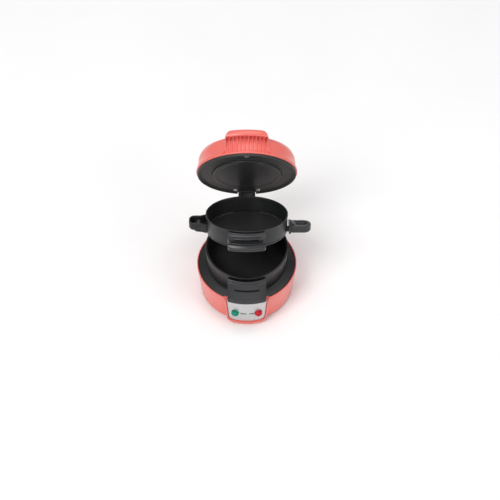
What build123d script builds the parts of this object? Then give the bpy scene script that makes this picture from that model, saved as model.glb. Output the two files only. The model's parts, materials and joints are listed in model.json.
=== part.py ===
from build123d import *
import os
from math import sin, cos, radians, degrees, asin, sqrt

os.makedirs("parts", exist_ok=True)

# ---------------------------------------------------------------------------
# Breakfast sandwich maker: round clam-type cooker with a bowl-shaped base, two
# hinged cooking rings, a swing-out cooking plate between them and a domed lid.
# Everything is drawn closed, on the axis of the base, then the ring pair and
# the lid are swung open about the common rear hinge pin and the whole model is
# moved so that the origin is the bottom centre of its bounding box.
# Units: mm, +Z up, front of the appliance towards -Y.
# ---------------------------------------------------------------------------

# ---- driving dimensions ----
HINGE_Y = 64.0            # hinge pin axis behind the centre of the base
HINGE_Z = 80.0            # hinge pin axis above the table
RING_OPEN = 23.5          # top ring raised by this angle at rest
LID_OPEN = 69.5           # lid raised by this angle at rest
ORIGIN_X = 4.35           # bounding box centre, seen from the axis of the base
ORIGIN_Y = 21.51

BASE_R = 69.5             # outer radius of the coloured base at its rim
BASE_TOP = 51.2           # rim height
WALL = 2.5                # moulded shell wall
POD_R = 73.0              # radius of the control pod's curved front
PANEL_R = 71.7            # radius of the silver panel's face
LAMP_X = 15.9             # indicator lenses either side of the centre line
LAMP_Z = 26.5

RING_LO_Z = 55.0          # lower ring, bottom edge
RING_LO_TOP = 86.0        # lower ring, rim
RING_LO_R = 56.0          # lower ring, outer radius at the rim
PLATE_Z0, PLATE_Z1 = 86.4, 88.6
PLATE_R = 54.0
RING_UP_Z = 89.0          # upper ring, bottom edge
RING_UP_TOP = 111.0       # upper ring, rim
RING_UP_R = 54.5
PIVOT_X = -64.0           # vertical pivot of the cooking plate, in the left lug

LID_Z = 112.0             # plane of the lid's underside
LID_RIM = 112.75          # lower edge of the coloured shell, above the cover's edge
LID_R = 68.6              # flared rim radius
LID_TOP = 146.5           # crown of the dome

PIN_R = 2.5               # hinge pin radius
BORE_R = 2.55             # running bores on it
KNUCKLE_R = 6.0

parts = {}


# ---- helpers ----
def turned(pts):
    """Solid of revolution about Z from a closed (radius, height) outline."""
    return revolve(make_face(Plane.XZ * Polyline(*pts, close=True)), Axis.Z, 360)


def turned_edges(*edges):
    return revolve(make_face([Plane.XZ * e for e in edges]), Axis.Z, 360)


def cyl(r, z0, z1, x=0.0, y=0.0):
    return Pos(x, y, (z0 + z1) / 2) * Cylinder(r, z1 - z0)


def cyl_x(r, x0, x1, y, z):
    return Pos((x0 + x1) / 2, y, z) * Rot(0, 90, 0) * Cylinder(r, x1 - x0)


def cyl_y(r, y0, y1, x, z):
    return Pos(x, (y0 + y1) / 2, z) * Rot(90, 0, 0) * Cylinder(r, y1 - y0)


def box(x0, x1, y0, y1, z0, z1):
    return Pos((x0 + x1) / 2, (y0 + y1) / 2, (z0 + z1) / 2) * Box(x1 - x0, y1 - y0, z1 - z0)


def plate_yz(pts, x0, x1):
    """Closed (y, z) outline extruded along X from x0 to x1."""
    face = make_face(Plane.YZ * Polyline(*pts, close=True))
    return Pos(x0, 0, 0) * extrude(face, amount=x1 - x0, dir=(1, 0, 0))


def front_outline(pts, r_corner, corner_pts, y0=-40, y1=-90):
    """Closed (x, z) outline with two rounded corners, extruded towards the front."""
    f = make_face(Plane.XZ * Polyline(*pts, close=True))
    vs = [v for v in f.vertices() if any(abs(v.X - c[0]) < 1e-3 and abs(v.Z - c[1]) < 1e-3 for c in corner_pts)]
    if vs:
        f = fillet(vs, r_corner)
    return Pos(0, y0, 0) * extrude(f, amount=abs(y1 - y0), dir=(0, -1, 0))


def polar(r, deg):
    return r * cos(radians(deg)), r * sin(radians(deg))


def soften(shape, edges, radius):
    try:
        out = fillet(edges, radius)
        if out.is_valid and out.volume > 0.8 * shape.volume:
            return out
    except Exception:
        pass
    print("note: an edge rounding of", radius, "was skipped")
    return shape


# ===========================================================================
# BASE
# ===========================================================================
outer = Spline((62.7, 3.8), (64.5, 9), (66.3, 20), (67.9, 32), (69.1, 43), (69.5, 50.3))
inner = Spline((67.6, 49.8), (66.7, 43), (65.5, 32), (63.9, 20), (62.1, 9), (60.9, 5.0))
base_shell = turned_edges(
    outer,
    ThreePointArc((69.5, 50.3), (69.15, 51.0), (68.5, BASE_TOP)),
    Line((68.5, BASE_TOP), (67.9, BASE_TOP)),
    Line((67.9, BASE_TOP), (67.6, 49.8)),
    inner,
    Line((60.9, 5.0), (56.0, 5.0)),
    Line((56.0, 5.0), (56.0, 2.4)),
    Line((56.0, 2.4), (60.4, 2.4)),
    ThreePointArc((60.4, 2.4), (61.9, 2.8), (62.7, 3.8)),
)

POD_TOP = BASE_TOP
pod_pts = [(-30.8, POD_TOP), (30.8, POD_TOP), (27.6, 2.2), (-27.6, 2.2)]
pod = front_outline(pod_pts, 9.5, [(27.6, 2.2), (-27.6, 2.2)]) & cyl(POD_R, 0, 60)
pod = pod - cyl(62.0, 0, 60)
pod = soften(pod, [e for e in pod.edges() if e.center().Y < -65 and abs(sqrt(e.center().X ** 2 + e.center().Y ** 2) - POD_R) < 2.5 and e.length > 6], 1.2)
pod_hollow = front_outline([(-28.2, 48.6), (28.2, 48.6), (25.2, 5.0), (-25.2, 5.0)], 7.0, [(25.2, 5.0), (-25.2, 5.0)]) & cyl(69.0, 0, 60)
panel_out = [(-27.5, 48.8), (27.5, 48.8), (24.6, 5.8), (-24.6, 5.8)]
panel_cut = front_outline(panel_out, 6.8, [(24.6, 5.8), (-24.6, 5.8)]) - cyl(70.5, 0, 60)
base_core = turned_edges(
    Spline((67.6, 49.8), (66.7, 43), (65.5, 32), (63.9, 20), (62.1, 9), (60.9, 5.0)),
    Line((60.9, 5.0), (0, 5.0)), Line((0, 5.0), (0, 49.8)), Line((0, 49.8), (67.6, 49.8)))
base_rim_cut = turned([(0, 49.8), (67.6, 49.8), (67.9, 51.3), (67.9, 55), (0, 55)])
base_housing = base_shell + pod - base_core - base_rim_cut - pod_hollow - panel_cut
for sx in (-1, 1):
    base_housing -= cyl_y(5.15, -76, -60, sx * LAMP_X, LAMP_Z)
# rear notch that the hinge bracket fills, and the hole of the cord gland
base_housing -= box(-34.3, 34.3, 40, 90, 17.7, 60)
GLAND_Z = 10.4
base_housing -= cyl_y(5.5, 50, 80, 0, GLAND_Z)
parts["base_housing"] = base_housing

# ---- bottom cover, feet, screws ----
SCREW_R = 52.5
cover = turned([(0, 2.6), (54.6, 2.6), (55.7, 3.6), (55.7, 5.0), (59.4, 5.0), (59.4, 6.4), (53.6, 6.4), (53.6, 4.6), (0, 4.6)])
cover += turned([(20, 4.6), (22, 4.6), (22, 6.2), (20, 6.2)])
screw_angles = [45, 135, 225, 315]
for a in screw_angles:
    x, y = polar(SCREW_R, a)
    cover -= cyl(1.75, 0, 10, x, y)
for k in range(5):
    cover -= box(-14, 14, -2 + (k - 2) * 7, (k - 2) * 7, 0, 5) - box(-14, -13, -40, 40, 0, 5)
parts["bottom_cover"] = cover

feet = []
for a in (60, 120, 240, 300):
    x, y = polar(48.0, a)
    f = Pos(x, y, 0) * turned([(0, 0), (5.6, 0), (6.3, 0.6), (6.8, 2.6), (0, 2.6)])
    feet.append(f)
parts["rubber_feet"] = Compound(children=feet)

cs = []
for a in screw_angles:
    x, y = polar(SCREW_R, a)
    s = cyl(1.6, 2.5, 20, x, y) + Pos(x, y, 0) * turned([(0, 1.2), (2.4, 1.2), (3.1, 1.8), (3.1, 2.6), (0, 2.6)])
    s -= box(x - 2.2, x + 2.2, y - 0.4, y + 0.4, 1.0, 1.8)
    s -= box(x - 0.4, x + 0.4, y - 2.2, y + 2.2, 1.0, 1.8)
    cs.append(s)
parts["bottom_cover_screws"] = Compound(children=cs)

# ---- black inner surround with screw posts ----
surround = turned([(67.3, 48.9), (67.3, 50.3), (66.6, 50.9), (62.5, 52.1), (58.2, 53.9), (54.45, 54.3), (54.45, 50.5),
                   (52.8, 50.5), (52.8, 46.0), (56.2, 46.0), (56.4, 51.8), (62.0, 50.1), (65.6, 48.9)])
for a in screw_angles:
    x, y = polar(SCREW_R, a)
    surround += cyl(3.4, 6.6, 50.4, x, y)
    surround -= cyl(1.62, 0, 21, x, y)
for sx in (-1, 1):
    surround -= box(min(sx * 25.6, sx * 32.4), max(sx * 25.6, sx * 32.4), 56.2, 80, 40, 60)
surround -= cyl(54.4, 50.45, 60)
parts["inner_surround"] = surround

# ---- lower heating plate and what is under it ----
bot_plate = turned([(0, 44.0), (45.0, 44.0), (46.0, 45.0), (46.0, 50.6), (54.1, 50.6), (54.1, 53.9), (53.5, 54.5), (0, 54.5)])
parts["bottom_heating_plate"] = bot_plate


def heater(r, tube, zc, drop):
    """Open ring of tubular element with two cold ends."""
    ring = revolve(Plane.XZ * Pos(r, zc) * Circle(tube), Axis.Z, 300)
    ring = Rot(0, 0, 120) * ring
    ends = []
    for ang in (60, 120):
        x, y = polar(r, ang)
        z0, z1 = sorted((zc, zc + drop))
        ends.append(cyl(tube * 0.8, z0, z1, x, y))
        ends.append(Pos(x, y, zc) * Sphere(tube))
        ends.append(cyl(0.9, min(zc + drop, zc + drop * 1.35), max(zc + drop, zc + drop * 1.35), x, y))
    for e in ends:
        ring += e
    return ring


bot_element = heater(33.0, 3.3, 40.6, -12.0)
parts["bottom_heating_element"] = bot_element

reflector = turned([(0, 31.0), (42.0, 31.0), (47.4, 37.0), (47.4, 39.0), (46.5, 39.0), (46.5, 37.4), (41.6, 32.0), (0, 32.0)])
for ang in (60, 120):
    x, y = polar(33.0, ang)
    reflector -= cyl(4.6, 20, 40, x, y)
reflector += cyl(3.0, 32.0, 43.95, -16, 0)
parts["heat_reflector"] = reflector

parts["thermostat"] = cyl(8.0, 38.0, 43.95, 14, -4) + cyl(6.0, 34.0, 38.0, 14, -4) + box(9, 11, -5.5, -2.5, 32.2, 35) + box(17, 19, -5.5, -2.5, 32.2, 35)
parts["thermal_fuse"] = cyl_x(2.2, -12, 2, -19, 41.7) + cyl_x(0.6, -17, 7, -19, 41.7)

# ---- supply side: gland, terminal block, wires ----
gland = cyl_y(5.3, 59.9, 68.6, 0, GLAND_Z) + cyl_y(6.9, 66.5, 69.2, 0, GLAND_Z) + cyl_y(4.9, 69.0, 73.4, 0, GLAND_Z)
gland += cyl_y(6.9, 59.6, 61.2, 0, GLAND_Z) & box(-10, 10, 50, 80, 6.8, 30)
for k in range(3):
    gland -= box(-8, 8, 70.1 + k * 1.1, 70.6 + k * 1.1, GLAND_Z + 3.9, GLAND_Z + 6) + box(-8, 8, 70.1 + k * 1.1, 70.6 + k * 1.1, GLAND_Z - 6, GLAND_Z - 3.9)
gland -= cyl_y(3.2, 50, 90, 0, GLAND_Z)
parts["cord_gland"] = gland

tblock = box(-14, 14, 28, 38, 6.2, 16.0)
for i in (-1, 0, 1):
    tblock -= cyl(2.0, 13.5, 17, i * 8.5, 33)
    tblock -= cyl_y(1.5, 20, 45, i * 8.5, 10.5)
tblock += box(-12, -9, 29, 37, 4.6, 6.3) + box(9, 12, 29, 37, 4.6, 6.3)
parts["terminal_block"] = tblock
parts["terminal_screws"] = Compound(children=[cyl(1.7, 13.6, 15.4, i * 8.5, 33) - box(i * 8.5 - 1.8, i * 8.5 + 1.8, 32.7, 33.3, 14.9, 16) for i in (-1, 0, 1)])


def wire(pts, radii, r=1.15):
    path = FilletPolyline(*pts, radius=radii)
    prof = Plane(origin=path @ 0, z_dir=path % 0) * Circle(r)
    return sweep(prof, path=path)


wires = []
for spec in (
    ([(-8.5, 27.9, 10.5), (-8.5, 22.0, 10.5), (-16.5, 28.6, 14.5), (-16.5, 28.6, 24.25)], 2.4),
    ([(8.5, 27.9, 10.5), (8.5, 22.0, 10.5), (16.5, 28.6, 14.5), (16.5, 28.6, 24.25)], 2.4),
    ([(0, 27.9, 10.5), (0, 12, 10.5), (4, -20, 12), (4, -44, 20), (8, -55.2, 26.0)], 3.0),
):
    try:
        w = wire(*spec)
        if w.is_valid:
            wires.append(w)
    except Exception as err:
        print("note: a wire was skipped", err)
parts["base_wiring"] = Compound(children=wires)

# ---- silver panel, lenses, lamps ----
panel_face = front_outline([(-27.35, 48.65), (27.35, 48.65), (24.45, 5.95), (-24.45, 5.95)], 6.65, [(24.45, 5.95), (-24.45, 5.95)])
panel = (panel_face & cyl(PANEL_R, 0, 60)) - cyl(70.55, -1, 61)
panel = max(panel.solids(), key=lambda s: s.volume)
for sx in (-1, 1):
    panel -= cyl_y(5.05, -76, -60, sx * LAMP_X, LAMP_Z)
parts["control_panel"] = panel


def lens(sx):
    x = sx * LAMP_X
    outline = make_face([
        Line((3.6, 0), (6.3, 0)), Line((6.3, 0), (6.3, 1.2)), Line((6.3, 1.2), (4.9, 1.2)), Line((4.9, 1.2), (4.9, 6.9)),
        Line((4.9, 6.9), (4.55, 8.2)), Line((4.55, 8.2), (3.6, 9.3)), Line((3.6, 9.3), (2.0, 10.0)), Line((2.0, 10.0), (0, 10.2)), Line((0, 10.2), (0, 6.2)),
        Line((0, 6.2), (3.6, 5.4)), Line((3.6, 5.4), (3.6, 0))])
    return Pos(x, -63.9, LAMP_Z) * Rot(0, 0, 180) * revolve(outline, Axis.Y, 360)


parts["ready_lens_green"] = lens(-1)
parts["power_lens_red"] = lens(1)

holder = box(-24.5, 24.5, -58.0, -56.4, 18.0, 35.0)
for sx in (-1, 1):
    holder += cyl_y(4.4, -61.8, -58.0, sx * LAMP_X, LAMP_Z) - cyl_y(2.9, -63, -58.0, sx * LAMP_X, LAMP_Z)
    holder += box(sx * 22.5 - 1.5, sx * 22.5 + 1.5, -61.6, -58.0, 20, 33)
parts["lamp_holder"] = holder
parts["indicator_lamps"] = Compound(children=[
    (cyl_y(2.6, -66.0, -58.0, sx * LAMP_X, LAMP_Z) + Pos(sx * LAMP_X, -66.0, LAMP_Z) * Sphere(2.6)) for sx in (-1, 1)])

# ---- rear hinge bracket, pin and clips ----
bracket = (cyl(71.0, 18.0, 48.4) - cyl(61.6, 0, 60)) & box(-34.0, 34.0, 40, 90, 0, 60)
bracket += (cyl(71.0, 48.0, 51.4) - cyl(67.75, 0, 60)) & box(-34.0, 34.0, 40, 90, 0, 60)
for sx in (-1, 1):
    x0, x1 = sorted((sx * 26.0, sx * 32.0))
    ear = plate_yz([(57.2, 46.0), (70.6, 46.0), (70.4, 80.0), (57.6, 80.0)], x0, x1) + cyl_x(6.6, x0, x1, HINGE_Y, HINGE_Z)
    bracket += ear
    # stiffening rib on the outer side of each ear
    x2, x3 = sorted((sx * 32.0, sx * 33.8))
    bracket += plate_yz([(60.0, 46.0), (69.6, 46.0), (66.5, 72.0), (62.0, 72.0)], x2, x3)
bracket -= cyl_x(PIN_R, -40, 40, HINGE_Y, HINGE_Z)
parts["hinge_bracket"] = bracket

parts["hinge_pin"] = cyl_x(PIN_R, -36.4, 36.4, HINGE_Y, HINGE_Z) - (cyl_x(4, -35.4, -34.5, HINGE_Y, HINGE_Z) - cyl_x(1.9, -36, -34, HINGE_Y, HINGE_Z)) - (cyl_x(4, 34.5, 35.4, HINGE_Y, HINGE_Z) - cyl_x(1.9, 34, 36, HINGE_Y, HINGE_Z))
clips = []
for sx in (-1, 1):
    x0, x1 = sorted((sx * 34.55, sx * 35.35))
    c = cyl_x(4.6, x0, x1, HINGE_Y, HINGE_Z) - cyl_x(1.95, x0 - 1, x1 + 1, HINGE_Y, HINGE_Z) - box(x0 - 1, x1 + 1, HINGE_Y - 1.6, HINGE_Y + 1.6, HINGE_Z - 8, HINGE_Z)
    clips.append(c)
parts["pin_clips"] = Compound(children=clips)

bs = []
for sx in (-1, 1):
    x = sx * 22.0
    yy = sqrt(71.0 ** 2 - x ** 2)
    s = cyl_y(1.6, yy - 9, yy - 0.6, x, 33.0) + cyl_y(3.4, yy - 0.9, yy + 0.8, x, 33.0)
    s -= box(x - 2.4, x + 2.4, yy + 0.2, yy + 2, 32.6, 33.4)
    s -= box(x - 0.4, x + 0.4, yy + 0.2, yy + 2, 30.6, 35.4)
    bs.append(s)
    bracket -= cyl_y(1.6, yy - 12, yy + 3, x, 33.0)
    bracket -= cyl_y(3.4, yy - 0.9, yy + 3, x, 33.0)
parts["hinge_bracket"] = bracket
parts["bracket_screws"] = Compound(children=bs)

# ===========================================================================
# LOWER RING (hinged on the pin, seated on the base)
# ===========================================================================
ring_lo = turned_edges(
    Line((52.7, RING_LO_Z), (55.2, RING_LO_Z)),
    Spline((55.2, RING_LO_Z), (55.5, 66), (55.85, 78), (56.0, 83.2)),
    Line((56.0, 83.2), (56.5, 84.0)),
    Line((56.5, 84.0), (56.5, 85.4)),
    ThreePointArc((56.5, 85.4), (56.2, 85.85), (55.8, RING_LO_TOP)),
    Line((55.8, RING_LO_TOP), (53.8, RING_LO_TOP)),
    ThreePointArc((53.8, RING_LO_TOP), (53.3, 85.8), (53.1, 85.3)),
    Line((53.1, 85.3), (52.7, RING_LO_Z)),
)
bore_lo = cyl(52.7, 50, 90)
for sx in (-1, 1):
    x0, x1 = sorted((sx * 19.4, sx * 25.2))
    ear = plate_yz([(48.0, 62.0), (53.0, 60.0), (69.6, 77.5), (66.5, 85.2), (60.0, 85.2), (57.2, 82.2), (48.0, 82.2)], x0, x1)
    ear += cyl_x(KNUCKLE_R, x0, x1, HINGE_Y, HINGE_Z)
    ring_lo += ear - cyl(54.2, 50, 95)
ring_lo -= cyl_x(BORE_R, -40, 40, HINGE_Y, HINGE_Z)

# curved shield handle, standing off the ring at its top edge
H_W = 25.5
lo_prof = [(56.0, 66.0), (56.0, 79.6), (58.6, 80.2), (58.9, 85.0), (59.8, 85.9), (61.0, 85.2), (62.2, 81.6), (76.4, 56.6),
           (76.3, 55.0), (75.0, 54.4), (72.8, 54.9), (66.4, 66.6), (62.0, 68.4)]
sector_lo = box(-H_W, H_W, -90, -40, 40, 95)
handle_lo = turned(lo_prof) & sector_lo
handle_lo = handle_lo - turned([(0, 50), (55.2, RING_LO_Z), (55.5, 66), (55.85, 78), (56.05, 83.2), (56.05, 90), (0, 90)])
handle_lo = soften(handle_lo, [e for e in handle_lo.edges() if abs(abs(e.center().X) - H_W) < 0.4 and e.center().Z < 57.5 and e.center().Y < -70], 1.2)
slot_lo = turned([(61.8, 73.7), (69.6, 73.7), (69.6, 71.3), (61.8, 71.3)]) & box(-16.8, 16.8, -90, -40, 40, 95)
handle_lo -= slot_lo
parts["bottom_ring_handle"] = handle_lo

rv = []
for sx in (-1, 1):
    a = -90 + sx * 11.5
    x, y = polar(1.0, a)
    base_loc = Rot(0, 0, a)
    s = Pos(0, 0, 73.2) * base_loc * (Pos(56.2, 0, 0) * Rot(0, 90, 0) * Cylinder(1.6, 7.6) + Pos(52.35, 0, 0) * Rot(0, 90, 0) * Cylinder(3.2, 0.9))
    rv.append(s)
    ring_lo -= Pos(0, 0, 73.2) * base_loc * (Pos(54.0, 0, 0) * Rot(0, 90, 0) * Cylinder(1.6, 14))
    handle_lo -= Pos(0, 0, 73.2) * base_loc * (Pos(56.2, 0, 0) * Rot(0, 90, 0) * Cylinder(1.6, 7.6))
rv = [s - (turned([(52.7, 55), (53.1, 85.3), (54.5, 90), (90, 90), (90, 50), (52.7, 50)]) - Pos(0, 0, 73.2) * Rot(0, 0, -90 + sx * 11.5) * (Pos(56.2, 0, 0) * Rot(0, 90, 0) * Cylinder(1.6, 7.6))) for s, sx in zip(rv, (-1, 1))]
parts["bottom_ring"] = ring_lo
parts["bottom_ring_handle"] = handle_lo
parts["bottom_handle_rivets"] = Compound(children=[max(r.solids(), key=lambda s: s.volume) for r in rv])

# ===========================================================================
# UPPER RING (hinged on the same pin)
# ===========================================================================
ring_up = turned_edges(
    Line((52.2, RING_UP_Z), (54.3, RING_UP_Z)),
    Line((54.3, RING_UP_Z), (54.5, 108.6)),
    Line((54.5, 108.6), (54.9, 109.3)),
    Line((54.9, 109.3), (54.9, 110.5)),
    ThreePointArc((54.9, 110.5), (54.65, 110.9), (54.2, RING_UP_TOP)),
    Line((54.2, RING_UP_TOP), (53.0, RING_UP_TOP)),
    ThreePointArc((53.0, RING_UP_TOP), (52.55, 110.85), (52.4, 110.4)),
    Line((52.4, 110.4), (52.2, RING_UP_Z)),
)
for sx in (-1, 1):
    x0, x1 = sorted((sx * 12.8, sx * 18.6))
    ear = plate_yz([(48.0, 89.4), (57.0, 89.4), (58.2, 82.0), (69.8, 80.0), (68.6, 84.5), (56.0, 104.5), (48.0, 104.5)], x0, x1)
    ear += cyl_x(KNUCKLE_R, x0, x1, HINGE_Y, HINGE_Z)
    ring_up += ear - cyl(53.4, 50, 120)
ring_up -= cyl_x(BORE_R, -40, 40, HINGE_Y, HINGE_Z)

up_prof = [(54.6, 90.2), (54.6, 104.2), (56.2, 104.8), (56.4, 108.6), (57.3, 109.4), (58.6, 108.8), (59.8, 105.0), (60.9, 100.2), (59.5, 98.5), (59.1, 94.2),
           (63.8, 93.4), (65.2, 96.3), (67.4, 96.3), (68.8, 95.2), (70.7, 93.4), (71.2, 90.6), (70.4, 89.5), (66.5, 89.4), (62.0, 91.0)]
handle_up = (turned(up_prof) & box(-24.6, 24.6, -90, -40, 60, 120)) - turned([(0, 80), (54.3, 89.0), (54.5, 108.6), (54.6, 109.0), (54.6, 115), (0, 115)])
up_plan = [(-24.6, -40.0), (-24.6, -64.8), (-22.6, -67.5), (-20.0, -90.0), (20.0, -90.0), (22.6, -67.5), (24.6, -64.8), (24.6, -40.0)]
handle_up &= Pos(0, 0, 60) * extrude(make_face(Polyline(*up_plan, close=True)), amount=60)
handle_up -= turned([(57.9, 101.3), (64.5, 101.3), (64.5, 99.7), (57.9, 99.7)]) & box(-15.5, 15.5, -90, -40, 60, 120)
rvu = []
for sx in (-1, 1):
    a = -90 + sx * 11.5
    pin = Pos(0, 0, 97.6) * Rot(0, 0, a) * (Pos(54.6, 0, 0) * Rot(0, 90, 0) * Cylinder(1.6, 6.4))
    head = Pos(0, 0, 97.6) * Rot(0, 0, a) * (Pos(51.7, 0, 0) * Rot(0, 90, 0) * Cylinder(3.2, 1.4))
    head -= turned([(52.2, 89), (52.35, 110.4), (90, 110), (90, 89)])
    rvu.append(pin + head)
    ring_up -= Pos(0, 0, 97.6) * Rot(0, 0, a) * (Pos(52.0, 0, 0) * Rot(0, 90, 0) * Cylinder(1.6, 14)) & cyl(58, 80, 120)
    handle_up -= pin
parts["top_ring"] = ring_up
parts["top_ring_handle"] = handle_up
parts["top_handle_rivets"] = Compound(children=[max(r.solids(), key=lambda s: s.volume) for r in rvu])

# ---- left lug: open cup with the post of the plate's pivot ----
LUG_Z0, LUG_Z1 = 89.6, 103.0
LUG_X, LUG_R, POCKET_R = -67.5, 9.9, 7.5


def lug_plan(r, *side):
    """Closed plan outline: a half circle at the left end, then the two sides."""
    pts = [(LUG_X, r), *side]
    back = [(x, -y) for x, y in reversed(pts)]
    edges = [Line(p, q) for p, q in zip(pts, pts[1:])]
    edges += [Line(pts[-1], back[0])] + [Line(p, q) for p, q in zip(back, back[1:])]
    return make_face([*edges, ThreePointArc((LUG_X, -r), (LUG_X - r, 0), (LUG_X, r))])


lug = Pos(0, 0, LUG_Z0) * extrude(lug_plan(LUG_R, (-62.0, 9.9), (-54.0, 14.0), (-40.0, 14.0)), amount=LUG_Z1 - LUG_Z0)
lug = soften(lug, [e for e in lug.edges() if abs(e.center().Z - LUG_Z0) < 0.1 and e.center().X < -54.5], 1.6)
# the rim of the cup falls towards the front
lug -= plate_yz([(-30.0, 97.3), (30.0, 105.7), (30.0, 130.0), (-30.0, 130.0)], -90, -30)
pocket = Pos(0, 0, 92.2) * extrude(lug_plan(POCKET_R, (-60.0, 7.5), (-56.6, 9.5)), amount=20)
lug = lug - turned([(0, 80), (54.3, 89.0), (54.5, 108.6), (54.5, 115), (0, 115)]) - pocket
lug -= cyl(PIN_R, 80, 110, PIVOT_X, 0)
parts["pivot_lug"] = max(lug.solids(), key=lambda s: s.volume)

pin = cyl(PIN_R, 85.8, 92.2, PIVOT_X, 0) + cyl(4.2, 84.6, 86.1, PIVOT_X, 0) + cyl(3.9, 92.2, 99.2, PIVOT_X, 0) + cyl(2.2, 99.2, 100.6, PIVOT_X, 0)
parts["plate_pivot_pin"] = pin

# ===========================================================================
# COOKING PLATE (swings out sideways about the lug's pin)
# ===========================================================================
cook = turned([(0, 86.9), (30, 86.9), (31, PLATE_Z0), (53.6, PLATE_Z0), (PLATE_R, 86.8), (PLATE_R, PLATE_Z1), (50.0, PLATE_Z1), (49.0, 88.2), (0, 88.2)])
ear_plate = Pos(0, 0, PLATE_Z0) * extrude(make_face(Polyline((PIVOT_X, -6.6), (-48, -14), (-48, 14), (PIVOT_X, 6.6), close=True)), amount=PLATE_Z1 - PLATE_Z0)
cook += (ear_plate - cyl(PLATE_R - 1, 80, 90)) + (cyl(6.6, PLATE_Z0, PLATE_Z1, PIVOT_X, 0) - cyl(PLATE_R - 1, 80, 90))
tongue = box(50.0, 74.0, -7.0, 7.0, PLATE_Z0, PLATE_Z1)
cook += tongue - cyl(PLATE_R - 1, 80, 90)
cook -= cyl(BORE_R, 80, 95, PIVOT_X, 0)
for xx in (65.0, 71.0):
    cook -= cyl(1.3, 80, 95, xx, 0)
parts["cooking_plate"] = cook

grip = SlotOverall(35.0, 21.0)
grip_body = Pos(68.6, 0, 86.0) * extrude(grip, amount=9.6) & box(59.2, 90, -20, 20, 80, 120)
grip_body = max(grip_body.solids(), key=lambda s: s.volume)
grip_body = soften(grip_body, [e for e in grip_body.edges() if e.center().Z > 95.5 and e.center().X > 62.0], 0.9)
flange = ((cyl(60.4, 84.8, 98.8) - cyl(57.4, 80, 120)) & box(40, 70, -13.2, 12.4, 80, 120)) - box(40, 70, 8.0, 20, 80, 86.5)
gusset = Pos(0, 4.5, 0) * extrude(make_face(Plane.XZ * Polyline((60.0, 84.9), (66.0, 86.4), (66.0, 93.5), (60.0, 98.2), close=True)), amount=4.5, both=True)
ph = grip_body + flange + (Pos(0, -4.5, 0) * gusset)
ph -= box(56, 74.05, -7.05, 7.05, PLATE_Z0 - 0.02, PLATE_Z1 + 0.02)
ph -= Pos(72.2, 0, 94.6) * extrude(SlotOverall(17.0, 9.0), amount=4)
for xx in (65.0, 71.0):
    ph -= cyl(1.3, 86.0, 92.0, xx, 0)
    ph -= cyl(2.6, 84.0, 86.38, xx, 0)
parts["plate_handle"] = max(ph.solids(), key=lambda s: s.volume)
parts["plate_handle_rivets"] = Compound(children=[cyl(1.3, 86.2, 92.0, xx, 0) + cyl(2.5, 85.6, 86.38, xx, 0) for xx in (65.0, 71.0)])

# ===========================================================================
# LID
# ===========================================================================
lid_out = [
    Line((66.95, LID_RIM), (68.3, LID_RIM)),
    ThreePointArc((68.3, LID_RIM), (68.52, 112.86), (LID_R, 113.1)),
    Spline((LID_R, 113.1), (68.5, 115.0), (68.0, 117.3), (67.3, 119.3), (66.6, 122.0), (66.1, 126.0), (65.5, 132.5), (63.6, 137.4), (59.2, 140.9), (50.0, 143.2), (30.0, 145.6), (0, LID_TOP)),
]
lid_in = [
    Line((0, LID_TOP), (0, LID_TOP - 2.6)),
    Spline((0, LID_TOP - 2.6), (30.0, 143.0), (49.4, 140.6), (57.6, 138.4), (61.4, 135.6), (63.0, 131.6), (63.6, 126.0), (64.2, 120.6), (64.9, 116.6)),
    Line((64.9, 116.6), (64.9, 114.6)),
    Line((64.9, 114.6), (66.95, 114.6)),
    Line((66.95, 114.6), (66.95, LID_RIM)),
]
lid_shell = turned_edges(*lid_out, *lid_in)
lid_void = turned([(0, 100), (66.95, 100), (66.95, 114.6), (64.9, 114.6), (64.9, 116.6), (64.2, 120.6), (63.6, 126.0), (63.0, 131.6), (61.4, 135.6), (57.6, 138.4), (49.4, 140.6), (30, 143.0), (0, 143.9)])
# raised front handle: overhanging grip bar above a hollowed panel
hp = [(50.0, 143.0), (60.0, 143.9), (70.0, 143.6), (75.2, 142.4), (77.4, 140.0), (77.7, 136.4), (76.5, 133.1), (74.0, 132.6),
      (70.6, 132.4), (68.4, 131.2), (67.4, 127.6), (67.3, 122.6), (67.6, 118.6), (68.3, 115.2), (68.55, 113.1), (60.0, 113.1), (60.0, 125.0), (56.0, 136.0)]
grip_side = [(24.2, 146.0), (27.4, 138.0), (28.6, 133.0), (29.0, 126.0), (30.9, 118.5), (33.0, 115.2), (35.2, 112.6)]
hblock = turned(hp) & front_outline([(-x, z) for x, z in reversed(grip_side)] + grip_side, 2.4, [(27.4, 138.0), (-27.4, 138.0)], y0=-30)
lid_shell = lid_shell + (hblock - lid_void)
# narrow grip ribs on the hollowed panel
RIB_PITCH = 4.97
for k in range(-5, 5):
    xk = (k + 0.5) * RIB_PITCH
    rib = (Pos(xk, 0, 0) * box(-0.6, 0.6, -80, -50, 113.6, 132.4)) & turned([(60, 113.4), (68.6, 113.4), (68.5, 115.0), (68.3, 118.6), (68.2, 124.0), (68.8, 129.0), (70.6, 131.6), (73.6, 132.7), (60, 132.7)])
    lid_shell += rib - lid_void
# bosses for the front screw and the hinge arm screws
lid_shell += (cyl(3.6, 114.5, 142.0, 0, -60.0) - turned([(62.4, 100), (62.4, 150), (90, 150), (90, 100)])) & (cyl(64.0, 114.5, 136.5))
lid_shell -= cyl(1.5, 100, 126, 0, -60.0)
for sx in (-1, 1):
    lid_shell += cyl(4.0, 118.4, 140.0, sx * 16.0, 56.0)
    lid_shell -= cyl(1.5, 100, 130, sx * 16.0, 56.0)
parts["lid_shell"] = lid_shell

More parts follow.
